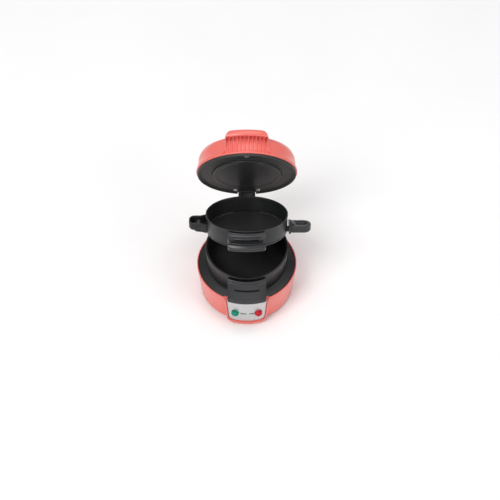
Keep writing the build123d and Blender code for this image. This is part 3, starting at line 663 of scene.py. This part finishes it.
zs = sorted(set([round(z, 4) for x, z in panel_outline if x > 0] + [round(z, 4) for z in np.linspace(13, 49.5, 32)]))
ncol = 64
P, rows = [], []
for radius in (70.6, 71.7):
    block = []
    for z in zs:
        w = half_width(panel_outline, z)
        block.append(list(range(len(P), len(P) + ncol + 1)))
        for j in range(ncol + 1):
            x = w * (-1 + 2 * j / ncol)
            P.append((x, -math.sqrt(radius ** 2 - x * x), z))
    rows.append(block)
F = strip_faces(rows[0]) + [tuple(reversed(f)) for f in strip_faces(rows[1])]
ring_back = [r[0] for r in rows[0]] + rows[0][-1][1:] + [r[-1] for r in reversed(rows[0][:-1])] + list(reversed(rows[0][0][1:-1]))
ring_front = [r[0] for r in rows[1]] + rows[1][-1][1:] + [r[-1] for r in reversed(rows[1][:-1])] + list(reversed(rows[1][0][1:-1]))
for k in range(len(ring_back)):
    k2 = (k + 1) % len(ring_back)
    F.append((ring_back[k], ring_back[k2], ring_front[k2], ring_front[k]))
panel = new_object("control_panel_face", P, F, PANEL)
LAMP_A = math.asin(15.9 / 71.7)


def lamp_axis(sx):
    return (sx * math.sin(LAMP_A), -math.cos(LAMP_A), 0.0)


def lamp_at(sx, radius):
    a = lamp_axis(sx)
    return (a[0] * radius, a[1] * radius, 26.5)


for sx in (-1, 1):
    c = revolve_along("cutter", [(0, -4), (5.15, -4), (5.15, 4), (0, 4)], PANEL, lamp_at(sx, 71.7), lamp_axis(sx), n=64)
    cut(panel, c)
bevel(panel, 0.22, 2, 50)
put(panel, "base", "silver_panel", "control_panel")


def panel_mark(name, x0, x1, z0, z1):
    """A plain raised dash between the lamps."""
    out = densify(rounded([(x0, z0, 0.45), (x1, z0, 0.45), (x1, z1, 0.45), (x0, z1, 0.45)], seg=4), 0.8)
    P, F = nested_data(out, [(0.0, 71.5), (0.0, 71.94), (0.08, 72.0)])
    return new_object(name, [(x, -math.sqrt(h * h - x * x), z) for x, z, h in P], F, MARK)


put(join("panel_dashes", panel_mark("dash_l", -8.9, -0.3, 25.2, 26.9), panel_mark("dash_r", 3.2, 10.6, 25.2, 26.9)), "base", "black_plastic")


def lens_piece(name, sx, mat):
    """Round jewel: smooth rim, then flat facets rising to a small table."""
    outer = revolve_along(name, [(3.4, -6.5), (5.0, -6.5), (5.04, -0.2), (5.04, 0.2), (5.0, 0.36), (4.94, 0.36), (4.9, 0.2), (4.88, -2.0), (3.4, -2.0)], mat, lamp_at(sx, 71.7), lamp_axis(sx), n=72)
    P, F = [], []
    m = 10
    loops = [(4.85, -1.5, 0.0), (4.85, 0.12, 0.0), (5.45, 0.16, 0.0), (5.45, 1.3, 0.0), (4.8, 2.8, 0.5), (3.4, 4.1, 0.0), (1.45, 4.8, 0.5)]
    rows = []
    for r, h, tw in loops:
        rows.append(list(range(len(P), len(P) + m)))
        for k in range(m):
            a = 2 * math.pi * (k + tw) / m
            P.append((r * math.cos(a), r * math.sin(a), h))
    for A, B, t in zip(rows, rows[1:], (False, False, False, True, True, True)):
        for k in range(m):
            k2 = (k + 1) % m
            if t:
                F.append((A[k], A[k2], B[k]))
                F.append((A[k2], B[k2], B[k]))
            else:
                F.append((A[k], A[k2], B[k2], B[k]))
    F.append(tuple(rows[-1]))
    F.append(tuple(reversed(rows[0])))
    jewel = new_object(name + "_jewel", along(P, lamp_at(sx, 71.7), lamp_axis(sx)), F, mat, sharp=6.0)
    bevel(jewel, 0.1, 2, 8, sharp=6.0)
    return join(name, outer, jewel)


put(lens_piece("ready_lens_jewel", -1, GREEN), "base", "green_lens", "ready_lens_green")
put(lens_piece("power_lens_jewel", 1, RED), "base", "red_lens", "power_lens_red")
for sx, nm in ((-1, "ready_lamp_seat"), (1, "power_lamp_seat")):
    o = revolve_along(nm, [(0.0, -1.9), (5.12, -1.9), (5.12, -0.35), (5.02, -0.3), (5.02, -1.2), (0, -1.2)], BLACK, lamp_at(sx, 71.7), lamp_axis(sx), n=64)
    put(o, "base", "black_plastic")

# ---- sloping black surround ----
sur = rounded([(67.45, 48.9, 0), (67.45, 50.2, 0.5), (66.6, 50.85, 0.8), (62.5, 52.1, 6), (58.2, 53.75, 2), (55.6, 54.3, 0.6), (54.45, 54.3, 0.4), (54.45, 50.5, 0), (52.8, 50.5, 0),
               (52.8, 46.0, 0), (56.2, 46.0, 0), (56.4, 51.8, 0), (62.0, 50.1, 0), (65.6, 48.9, 0)], seg=5)
put(revolve("inner_surround_ring", sur, BLACK, n=240), "base", "black_plastic", "inner_surround")

# ---- lower heating plate ----
hp = [(0, 54.15), (30, 54.15), (46.5, 54.2), (47.6, 54.3), (48.4, 54.44)] + [(51.0, 54.5), (53.2, 54.5)] + arc(53.5, 53.95, 0.55, 90, 0, 4) + [(54.1, 50.7), (46.0, 50.6), (46.0, 45.0), (45.0, 44.0), (0, 44.0)]
put(revolve("bottom_heating_plate_disc", hp, NONSTICK, n=240), "base", "nonstick_coating", "bottom_heating_plate")

# ---- feet, underside ----
feet = []
for k, a in enumerate((60, 120, 240, 300)):
    x, y = 48 * math.cos(math.radians(a)), 48 * math.sin(math.radians(a))
    prof = [(0, 0.35), (3.4, 0.35), (3.9, 0.02), (5.0, 0.0)] + arc(5.4, 0.75, 0.75, -90, 0, 4) + [(6.75, 2.6), (0, 2.6)]
    feet.append(revolve("foot%d" % k, prof, RUBBER, n=48, centre=(x, y)))
put(join("rubber_feet_set", *feet), "base", "feet_rubber", "rubber_feet")
under_cover = cad_piece("bottom_cover", BLACK, 0.3)
for f in under_cover.data.polygons:                                  # its flat faces stay flat-shaded between the rounded edges
    if abs(f.normal.z) > 0.9999:
        f.use_smooth = False
put(under_cover, "base", "black_plastic", "bottom_cover")
put(cad_piece("hinge_bracket", BLACK, 0.7, 3), "base", "black_plastic", "hinge_bracket")
put(cad_piece("hinge_pin", STEEL, 0.3), "base", "screw_steel", "hinge_pin")
put(cad_piece("pin_clips", STEEL, 0.15), "base", "screw_steel", "pin_clips")
put(cad_piece("bracket_screws", STEEL, 0.2), "base", "screw_steel", "bracket_screws")
put(cad_piece("bottom_cover_screws", STEEL, 0.2), "base", "screw_steel", "bottom_cover_screws")

gl = ([(3.2, -7.0), (6.7, -7.0)] + arc(6.5, -6.6, 0.4, -60, 0, 3) + [(6.9, -5.5), (5.3, -5.3), (5.3, -0.1), (6.6, -0.1)] + arc(6.4, 0.4, 0.5, -90, 0, 3)
      + arc(6.2, 2.0, 0.7, 0, 90, 4) + [(5.1, 2.8), (4.9, 3.3)])
for k in range(3):
    b = 3.5 + k * 1.1
    gl += [(4.88, b), (4.3, b + 0.1), (4.3, b + 0.5), (4.86, b + 0.6)]
gl += arc(4.3, 6.4, 0.5, 0, 90, 4) + arc(3.6, 6.5, 0.4, 90, 180, 3) + [(3.2, 6.0)]
put(revolve_along("cord_gland_bush", gl, BLACK, (0, 66.6, 10.4), (0, 1, 0), n=64), "base", "black_plastic", "cord_gland")

# ---------------------------------------------------------------------------
# LOWER RING
# ---------------------------------------------------------------------------
lo = rounded([(52.7, 55.0, 0.5), (55.2, 55.0, 0.6), (55.5, 66.0, 0), (55.85, 78.0, 0), (56.0, 83.0, 0.5), (56.5, 84.1, 0.5), (56.5, 86.0, 0.75), (53.2, 86.0, 0.9), (52.95, 83.6, 1.5), (52.9, 70.0, 0), (52.8, 60.0, 0)], seg=5)
ring1 = revolve("lower_ring_wall", lo, RINGM, n=288)


def ears(name, x0, x1, pts, mat, ang):
    objs = []
    for sx in (-1, 1):
        a, b = sorted((sx * x0, sx * x1))
        P, F = extrude_yz(pts, a, b)
        o = new_object(name + ("_l" if sx < 0 else "_r"), P, F, mat, ang)
        bevel(o, 0.8, 3, 32)
        objs.append(o)
    return objs


def knuckle_outline(web, r, a0, a1, n=22):
    """Web polygon that ends in an arc of the knuckle about the pin."""
    return web + arc(HY, HZ, r, a0, a1, n)


lo_web = [(52.0, 83.0), (52.0, 62.5), (55.0, 61.2)]
lo_ear_pts = [(53.6, 62.2), (55.6, 61.0)] + arc(HY, HZ, 6.0, -45, 100, 20) + [(59.8, 84.9), (57.4, 82.4), (53.6, 82.2)]
e1, e2 = ears("lower_ring_ear", 19.4, 25.2, lo_ear_pts, RINGM, 0.0)
put(join("lower_ring_body", ring1, e1, e2), "lower_ring", "ring_coating", "bottom_ring")

# shield handle: two ridges along the top, a slot and a rounded skirt
lh = rounded([(56.1, 66.2, 0.4), (56.1, 79.2, 0.5), (59.1, 79.7, 0.5), (59.25, 83.8, 0.5), (60.2, 84.9, 0.8), (61.5, 84.3, 0.7), (62.2, 82.6, 0.4), (61.9, 81.9, 0.3), (62.0, 80.9, 0.3),
              (63.2, 80.6, 0.5), (63.95, 79.3, 0.5), (63.65, 78.4, 0.3), (64.0, 77.6, 0.3), (65.6, 75.2, 0), (74.5, 61.0, 1.2), (76.0, 57.2, 1.2), (76.3, 55.2, 0.9), (74.9, 54.45, 0.6),
              (73.0, 55.0, 0.8), (66.4, 66.6, 2.0), (62.0, 68.2, 2.5)], seg=5)
P, F = sector_data(lh, 25.5, 60, wfun=lambda r, z: 25.5 + 0.012 * (85 - z))
h1 = new_object("lower_handle", P, F, HANDLE)


def shield_cutter(name, prof, half_w, ncol, end_r, mat):
    P, F = sector_data(prof, half_w, ncol)
    return new_object(name, P, F, mat)


slot1 = shield_cutter("slot", rounded([(61.9, 73.65, 0), (72.5, 73.65, 0), (72.5, 71.35, 0), (61.9, 71.35, 0)]), 16.7, 40, 1.0, HANDLE)
cut(h1, slot1)
bevel(h1, 0.45, 3, 40)


def paint_slot_shade(o, ang, half_w, z0, z1, r1):
    """Faces inside a grip's slot get a near-black painted shade, standing in for the shadow inside the slot."""
    me = o.data
    me.materials.append(SLOT_SHADE_PAINT)
    k = len(me.materials) - 1
    c, s = math.cos(ang), math.sin(ang)
    for f in me.polygons:
        x, y, z = f.center[0] * 1000 + OX, f.center[1] * 1000 + OY - HY, f.center[2] * 1000 - HZ
        y, z = y * c - z * s + HY, y * s + z * c + HZ
        if abs(x) < half_w and z0 < z < z1 and math.hypot(x, y) < r1:
            f.material_index = k


# the lower grip's slot faces get the painted shade
paint_slot_shade(h1, 0.0, 16.9, 71.2, 73.8, 66.2)


def side_band(name, prof, x0, x1, mat, ang=0.0):
    """Closed (r, z) outline swept round the Z axis between two x positions at the front."""
    P, rows = [], []
    for j in range(5):
        x = x0 + (x1 - x0) * j / 4
        rows.append(list(range(len(P), len(P) + len(prof))))
        P += [(x, -math.sqrt(max(r * r - x * x, 0)), z) for r, z in prof]
    F = strip_faces(rows, wrap=True)
    F += [tuple(rows[0]), tuple(reversed(rows[-1]))]
    o = new_object(name, P, F, mat, ang)
    bevel(o, 0.18, 2, 40)
    return o


band = rounded([(63.2, 77.6, 0.2), (64.35, 77.7, 0.3), (66.0, 75.1, 0), (74.95, 61.0, 1.0), (76.3, 57.0, 0.8), (76.36, 56.2, 0.3), (74.6, 57.0, 0.2), (72.6, 60.6, 0), (64.0, 74.4, 0)], seg=3)
h1 = join("lower_handle", h1, side_band("band_l", band, -25.72, -24.5, HANDLE), side_band("band_r", band, 24.5, 25.72, HANDLE))
put(h1, "lower_ring", "handle_plastic", "bottom_ring_handle")

# ---------------------------------------------------------------------------
# UPPER RING
# ---------------------------------------------------------------------------
up = rounded([(52.2, 89.0, 0.5), (54.3, 89.0, 0.7), (54.5, 108.4, 0.5), (54.95, 109.3, 0.4), (54.95, 111.0, 0.7), (52.75, 111.0, 0.7), (52.45, 109.0, 1.2), (52.3, 100.0, 0)], seg=5)
ring2 = revolve("upper_ring_wall", up, RINGM, RING, n=288)
up_ear_pts = [(52.9, 89.5), (56.8, 89.5), (58.6, 83.2)] + arc(HY, HZ, 6.0, 150, 385, 26) + [(57.4, 103.0), (56.0, 104.4), (52.9, 104.4)]
e1, e2 = ears("upper_ring_ear", 12.8, 18.6, up_ear_pts, RINGM, RING)
put(join("upper_ring_body", ring2, e1, e2), "upper_ring", "ring_coating", "top_ring")

uh = rounded([(54.7, 90.4, 0.4), (54.7, 103.6, 0.5), (56.3, 104.6, 0.6), (56.4, 108.2, 0.5), (57.2, 109.3, 0.7), (58.4, 108.9, 0.6), (58.9, 107.5, 0.5), (58.5, 106.9, 0.3), (59.5, 106.2, 0.5),
              (60.1, 104.9, 0.5), (59.7, 104.0, 0.3), (60.6, 101.4, 0.5), (60.9, 99.7, 0.8), (59.6, 98.2, 0.6), (59.15, 94.4, 0.9), (63.7, 93.6, 0.9), (65.1, 96.3, 0.5), (67.4, 96.3, 0.5),
              (68.4, 94.7, 0.4), (69.2, 93.6, 0.4), (70.6, 93.0, 0.5), (71.1, 90.9, 0.8), (70.3, 89.55, 0.7), (66.5, 89.4, 1.0), (62.0, 91.0, 2.0)], seg=4)


def upper_width(r, z):
    """Half-width of the upper handle: rounded ends above and below, drawn in along the gutter."""
    w = 24.5
    if z > 106.8:
        w -= 2.3 * (1 - math.sqrt(1 - min(1.0, (z - 106.8) / 2.7) ** 2))
    if r > 67.4:
        w -= 3.3 * (1 - math.sqrt(1 - min(1.0, (r - 67.4) / 3.8) ** 2))
    if r < 64.5 and 93.0 < z < 100.2:
        w -= 1.2
    return w


P, F = sector_data(uh, 24.5, 60, wfun=upper_width)
h2 = new_object("upper_handle", P, F, HANDLE, RING)
P, F = sector_data([(57.6, 101.3), (66.0, 101.3), (66.0, 99.75), (57.6, 99.75)], 15.4, 36)
cut(h2, new_object("slot", P, F, HANDLE, RING))
bevel(h2, 0.4, 3, 40)
P, F = sector_data(rounded([(59.6, 102.5, 0.2), (60.7, 102.5, 0.3), (61.15, 101.9, 0.35), (61.0, 101.35, 0.2), (59.6, 101.35, 0.1)], seg=4), 15.6, 36)
brow = new_object("brow", P, F, HANDLE, RING)
bevel(brow, 0.12, 2, 40)
# the upper grip's slot faces get the painted shade
paint_slot_shade(h2, RING, 15.6, 99.6, 101.4, 60.3)
h2 = join("upper_handle", h2, brow)
put(h2, "upper_ring", "handle_plastic", "top_ring_handle")

# pivot lug: an open cup with a thick lip round it
lug_out = densify(rounded([(-77.4, -9.9, 9.85), (-62.0, -9.9, 4.0), (-54.0, -14.0, 1.0), (-50.0, -13.0, 0), (-50.0, 13.0, 0), (-54.0, 14.0, 1.0), (-62.0, 9.9, 4.0), (-77.4, 9.9, 9.85)], seg=16), 1.5)


def lug_height(x, y, h):
    """The rim of the cup falls towards the front."""
    rim = min(103.0, 101.5 + 0.14 * y)
    return h if h < 93.0 else 93.0 + (h - 93.0) * (rim - 93.0) / 10.0


st = [(1.7, 89.6)] + quarter(1.7, 89.6, 0.0, 91.9, 5)[1:] + [(0.0, 96.0), (0.0, 102.1)] + quarter(0.0, 102.1, 0.9, 103.0, 5)[1:] + [(1.6, 103.0)] + quarter(1.6, 103.0, 2.35, 102.3, 4, flip=True)[1:] + [(2.4, 98.0), (2.45, 93.2), (3.2, 92.3), (4.6, 92.2)]
P, F = nested_data(lug_out, st, lug_height)
lug = new_object("pivot_lug_cup", P, F, BLACK, RING)
trim = revolve("trim", [(0, 80), (54.25, 89.0), (54.45, 108.6), (54.45, 115), (0, 115)], BLACK, RING, n=288)
cut(lug, trim)
put(lug, "upper_ring", "black_plastic", "pivot_lug")
pin_prof = [(0, 84.7), (3.6, 84.7), (4.1, 85.1), (4.15, 85.9), (3.9, 86.15), (2.5, 86.2), (2.5, 92.2), (3.9, 92.2), (3.9, 98.6), (3.5, 99.15), (2.2, 99.2), (2.1, 100.3), (1.7, 100.6), (0, 100.6)]
put(revolve("plate_pivot_pin_turned", pin_prof, DARK_STEEL, RING, n=48, centre=(-64.0, 0.0)), "upper_ring", "screw_steel", "plate_pivot_pin")

# ---------------------------------------------------------------------------
# MIDDLE PLATE
# ---------------------------------------------------------------------------
cp = [(0, 88.0), (47.8, 88.0)] + [(48.6, 88.1), (49.4, 88.45), (50.2, 88.58), (53.5, 88.6)] + arc(53.5, 88.1, 0.5, 90, 0, 4) + arc(53.4, 87.0, 0.6, 0, -90, 4) + [(31.2, 86.4), (30.2, 86.5), (29.4, 86.85), (0, 86.9)]
disc = revolve("cooking_disc", cp, NONSTICK, RING, n=240)
ear_out = rounded([(-53.0, -12.0, 1.5), (-53.0, 12.0, 1.5), (-61.0, 8.0, 4.0), (-70.6, 6.0, 6.2), (-70.6, -6.0, 6.2), (-61.0, -8.0, 4.0)], seg=10)
P, F = nested_data(ear_out, [(0.3, 86.4), (0.0, 86.7), (0.0, 88.3), (0.3, 88.6)])
ear = new_object("cooking_ear", P, F, NONSTICK, RING)
ton_out = rounded([(52.0, -6.95, 0), (73.9, -6.95, 2.0), (73.9, 6.95, 2.0), (52.0, 6.95, 0)], seg=6)
P, F = nested_data(ton_out, [(0.2, 86.42), (0.0, 86.6), (0.0, 88.4), (0.2, 88.58)])
ton = new_object("cooking_tongue", P, F, NONSTICK, RING)
put(join("cooking_plate_disc", disc, ear, ton), "middle_plate", "nonstick_coating", "cooking_plate")

# handle: rounded paddle with an oval dish, and a curved flange against the ring
pad_out = densify(rounded([(59.0, -10.4, 1.4), (86.0, -10.4, 10.2), (86.0, 10.4, 10.2), (59.0, 10.4, 1.4)], seg=14), 1.2)
pst = [(1.2, 86.0)] + quarter(1.2, 86.0, 0.0, 87.3, 5)[1:] + [(0.0, 91.2), (0.4, 91.5), (0.4, 92.3), (0.0, 92.6), (0.0, 94.75)] + quarter(0.0, 94.75, 0.8, 95.55, 5)[1:]
P, F = nested_data(pad_out, pst)
pad = new_object("paddle", P, F, HANDLE, RING)
dish_out = densify(rounded([(63.7, -5.8, 4.9), (80.9, -5.8, 5.6), (80.9, 5.8, 5.6), (63.7, 5.8, 4.9)], seg=12), 1.0)
P, F = nested_data(dish_out, [(0.0, 98.0), (0.0, 94.7), (0.3, 93.9), (1.0, 93.4), (2.0, 93.3)])
cut(pad, new_object("dish", P, F, HANDLE, RING))
bevel(pad, 0.3, 2, 45)
# flange seen from the right: a shield with a nub on top and a pointed foot
fl_pts = rounded([(-13.2, 86.2, 1.0), (-9.0, 85.2, 1.0), (-2.0, 84.9, 1.0), (2.0, 84.8, 0.8), (9.0, 86.6, 1.0), (12.4, 89.2, 1.0), (12.4, 95.6, 1.2), (8.5, 97.0, 1.0), (4.4, 98.8, 1.4), (-0.6, 98.8, 1.4), (-5.0, 97.0, 1.0), (-13.2, 95.8, 1.2)], seg=4)
fl = densify(fl_pts, 1.2)
P, F = nested_data(fl, [(0.0, 57.5), (0.0, 59.6), (0.3, 60.2), (0.8, 60.4)])
P = [(math.sqrt(max(h * h - y * y, 0)), y, z) for y, z, h in P]
fl_o = new_object("flange", P, F, HANDLE, RING)
gus = rounded([(59.8, 85.4, 0.4), (66.8, 86.6, 1.0), (66.2, 95.0, 0.6), (63.6, 95.9, 0.8), (59.8, 98.2, 0.4)], seg=4)
n = len(gus)
P = [(x, -4.6, z) for x, z in gus] + [(x, 4.6, z) for x, z in gus]
F = [(k, (k + 1) % n, n + (k + 1) % n, n + k) for k in range(n)] + [tuple(range(n)), tuple(reversed(range(n, 2 * n)))]
gu_o = new_object("gusset", P, F, HANDLE, RING)
bevel(gu_o, 0.8, 3, 40)
put(join("plate_handle_paddle", pad, fl_o, gu_o), "middle_plate", "handle_plastic", "plate_handle")

# ---------------------------------------------------------------------------
# LID
# ---------------------------------------------------------------------------
# rows of body (r, z), handle (r, z) and half-width of the handle
K = [
    (50.0, 143.20, 50.0, 143.20, 22.9),
    (53.2, 142.55, 56.0, 143.75, 23.4),
    (56.6, 141.75, 64.0, 144.00, 23.8),
    (59.4, 140.75, 71.2, 143.60, 24.4),
    (61.7, 139.20, 75.6, 142.00, 25.6),
    (63.3, 137.30, 77.3, 139.20, 26.7),
    (64.5, 134.90, 77.5, 136.20, 27.6),
    (65.2, 132.90, 76.4, 133.50, 28.4),
    (65.5, 132.20, 73.0, 133.20, 28.6),
    (65.7, 131.40, 69.5, 132.40, 28.7),
    (65.95, 128.40, 68.1, 129.20, 28.8),
    (66.2, 124.80, 67.7, 124.90, 29.1),
    (66.6, 121.40, 67.8, 121.40, 29.9),
    (67.5, 118.50, 68.0, 118.40, 30.9),
    (68.25, 116.60, 68.4, 116.40, 32.3),
    (68.45, 115.20, 68.5, 115.10, 33.8),
    (68.5, 113.90, 68.52, 113.88, 35.3),
]
KS = smooth(K, 7)
NZ = len(KS)
dome = [tuple(p) for p in smooth([(0, 146.5), (10, 146.4), (20, 146.0), (30, 145.42), (40, 144.52), (50, 143.2)], 4)][:-1]
dome[0] = (0.0, 146.5)
under = arc(67.4, 113.85, 1.1, 0, -90, 7)[1:] + [(67.02, 112.75), (66.95, 112.85), (66.95, 114.6), (64.9, 114.6), (64.9, 116.6)] + \
        [tuple(p) for p in smooth([(64.8, 117.2), (64.2, 120.8), (63.6, 126.0), (63.0, 131.6), (61.4, 135.6), (57.6, 138.4), (49.4, 140.6), (30, 143.0), (12, 143.8)], 3)] + [(0.0, 143.95)]

# columns: inside the handle (t*w), over its edge (offset in mm from the edge), then round the back
inner_t = [k / 150.0 for k in range(-150, 151)]
edge_off = [-1.25, -0.85, -0.55, -0.32, -0.15, -0.02, 0.1, 0.24, 0.42, 0.65, 0.95, 1.4]
edge_w = [1.0, 0.985, 0.95, 0.88, 0.76, 0.58, 0.38, 0.22, 0.11, 0.045, 0.012, 0.0]
NB = 96


def columns(w, r):
    """(theta from the front, weight, x position) for every column of a row with half-width w and body radius r."""
    cols = []
    lo_in = w + edge_off[0] - 0.25
    for k in range(len(edge_off) - 1, -1, -1):
        cols.append((-(w + edge_off[k]), edge_w[k]))
    for t in inner_t:
        cols.append((t * lo_in, 1.0))
    for k in range(len(edge_off)):
        cols.append((w + edge_off[k], edge_w[k]))
    return cols


NC = len(columns(30, 70))
TOT = NC + NB


def bell(x, c, s):
    return math.exp(-((x - c) / s) ** 2)


def sstep(x, a, b):
    t = max(0.0, min(1.0, (x - a) / (b - a)))
    return t * t * (3 - 2 * t)


P, rows = [], []


def row_from(theta_r):
    row = list(range(len(P), len(P) + len(theta_r)))
    for th, r, z in theta_r:
        P.append((r * math.sin(th), -r * math.cos(th), z))
    return row


def back_thetas(th_edge):
    return [th_edge + (2 * math.pi - 2 * th_edge) * (k + 1) / (NB + 1) for k in range(NB)]


def thetas_const(w, r):
    th = [math.asin(max(-1, min(1, x / r))) for x, _ in columns(w, r)]
    return th + back_thetas(th[-1])


pole_top = len(P)
P.append((0.0, 0.0, dome[0][1]))
th_top = thetas_const(K[0][4], 50.0)
all_rows = []
for r, z in dome[1:]:
    all_rows.append(row_from([(t, r, z) for t in th_top]))
for i in range(NZ):
    rb, zb, rh, zh, w = KS[i]
    s = i / (NZ - 1) * (len(K) - 1)
    w_in = w - 2.5
    pan = sstep(s, 7.5, 8.8) * (1 - sstep(s, 14.3, 15.4))         # the hollowed, fluted field
    hood = sstep(s, 7.15, 7.9) * (1 - sstep(s, 9.1, 9.9))         # where it runs up behind the bar
    bead = sstep(s, 7.2, 8.2) * 0.85
    fall = float(np.interp(s, [0, 1, 2, 3, 4, 5, 6, 7], [0, 0.3, 0.8, 1, 1, 0.62, 0.25, 0]))
    line = []
    for x, wt in columns(w, rb):
        end = max(0.0, min(1.0, (abs(x) - (w - 4.6)) / 4.6))             # the bar's rounded ends
        r = rb + (rh - rb) * wt
        z = zb + (zh - fall * 4.4 * (1 - math.sqrt(1 - end * end)) - zb) * wt
        if wt > 0.5:
            inside = 1 - sstep(abs(x), w_in - 0.45, w_in + 0.45)
            ridge = abs((x / 4.97) % 1.0 - 0.5) * 4.97                  # distance from the nearest narrow ridge
            flute = sstep(ridge, 0.40, 1.30)
            r -= pan * inside * (0.15 + 1.45 * flute)
            r -= hood * inside * flute * 1.3 * sstep(s, 8.2, 9.0)
            z += hood * inside * flute * 2.4
            r += bead * bell(abs(x), w - 1.15, 0.75)
        th = math.asin(max(-1, min(1, x / r)))
        line.append((th, r, z))
    line += [(t, rb, zb) for t in back_thetas(line[-1][0])]
    all_rows.append(row_from(line))
th_low = [t for t, _, _ in line]
for r, z in under[:-1]:
    all_rows.append(row_from([(t, r, z) for t in th_low]))
pole_in = len(P)
P.append((0.0, 0.0, under[-1][1]))
F = strip_faces(all_rows, wrap=True)
m = len(all_rows[0])
F += [(pole_top, all_rows[0][(k + 1) % m], all_rows[0][k]) for k in range(m)]
F += [(pole_in, all_rows[-1][k], all_rows[-1][(k + 1) % m]) for k in range(m)]
lid = new_object("lid_shell_dome", P, F, CORAL, LID, sharp=50)
put(lid, "lid", "coral_plastic", "lid_shell")

ic = rounded([(46.7, 113.4, 0.3), (46.7, 112.25, 0.3), (47.3, 112.0, 0.4), (50.0, 112.05, 0), (61.8, 112.0, 3.0), (64.6, 110.0, 2.0), (66.3, 109.6, 0.4), (66.86, 110.1, 0.3), (66.84, 114.4, 0), (46.7, 114.4, 0)], seg=5)
cover = revolve("lid_cover_ring", ic, COVERM, LID, n=240)
notch_out = [(-12.9, 57.7), (12.9, 57.7)] + [(67.2 * math.sin(t), 67.2 * math.cos(t)) for t in np.linspace(0.1932, -0.1932, 9)]
P, F = nested_data(notch_out, [(0.0, 100.0), (0.0, 120.0)])
cut(cover, new_object("notch", P, F, COVERM, LID))
put(cover, "lid", "black_plastic", "lid_inner_cover")

tp = [(0, 110.35), (38.0, 110.35), (40.5, 110.3), (42.0, 110.08), (44.8, 110.0)] + arc(45.4, 110.9, 0.95, -90, 0, 5) + [(46.4, 114.45), (51.5, 114.45), (51.5, 116.0), (46.0, 117.0), (0, 117.0)]
put(revolve("top_heating_plate_disc", tp, NONSTICK, LID, n=240), "lid", "nonstick_coating", "top_heating_plate")
put(cad_piece("lid_hinge_arm", BLACK, 0.6, 3), "lid", "black_plastic", "lid_hinge_arm")
put(cad_piece("lid_front_screw", STEEL, 0.12), "lid", "screw_steel", "lid_front_screw")
put(cad_piece("lid_hinge_screws", STEEL, 0.12), "lid", "screw_steel", "lid_hinge_screws")

# ---------------------------------------------------------------------------
# STAGE, LIGHT, CAMERA
# ---------------------------------------------------------------------------
me = bpy.data.meshes.new("floor")
me.from_pydata([(-6, -6, -0.0002), (6, -6, -0.0002), (6, 6, -0.0002), (-6, 6, -0.0002)], [], [(0, 1, 2, 3)])
floor = bpy.data.objects.new("floor", me)
me.materials.append(make_floor())
bpy.context.scene.collection.objects.link(floor)

world = bpy.data.worlds.new("studio")
bpy.context.scene.world = world
world.use_nodes = True
world.node_tree.nodes["Background"].inputs[0].default_value = (1.0, 1.0, 1.0, 1.0)
world.node_tree.nodes["Background"].inputs[1].default_value = 0.42


def area(name, loc, target, size, power, color=(1, 1, 1)):
    d = bpy.data.lights.new(name, "AREA")
    d.shape = "RECTANGLE"
    d.size, d.size_y = size
    d.energy = power
    d.color = color
    o = bpy.data.objects.new(name, d)
    o.location = loc
    o.rotation_euler = (Vector(target) - Vector(loc)).to_track_quat("-Z", "Y").to_euler()
    bpy.context.scene.collection.objects.link(o)
    return o


area("key", (-1.65, -1.65, 3.15), (0, 0, 0.08), (1.65, 1.65), 66.0)
area("fill", (2.55, -1.5, 1.8), (0, 0, 0.08), (1.8, 1.8), 20.0)
area("top", (0.15, 0.75, 3.9), (0, 0.02, 0.08), (2.7, 1.5), 47.0)
area("front", (0.0, -3.6, 1.05), (0, 0, 0.09), (3.0, 1.05), 9.0)

cam_d = bpy.data.cameras.new("camera")
cam = bpy.data.objects.new("camera", cam_d)
bpy.context.scene.collection.objects.link(cam)
EPS = 0.90408
cam.location = (-OX * 0.001, (-681.97 - OY) * 0.001, 0.94309)
cam.rotation_mode = "XYZ"
cam.rotation_euler = (math.pi / 2 - EPS, 0.0, 0.0)
cam_d.sensor_width = 36.0
cam_d.lens = 802.0 / 500.0 * 36.0
cam_d.shift_x = 3.2 / 500.0
cam_d.clip_start, cam_d.clip_end = 0.05, 20.0
bpy.context.scene.camera = cam
bpy.context.scene.view_settings.view_transform = "Standard"
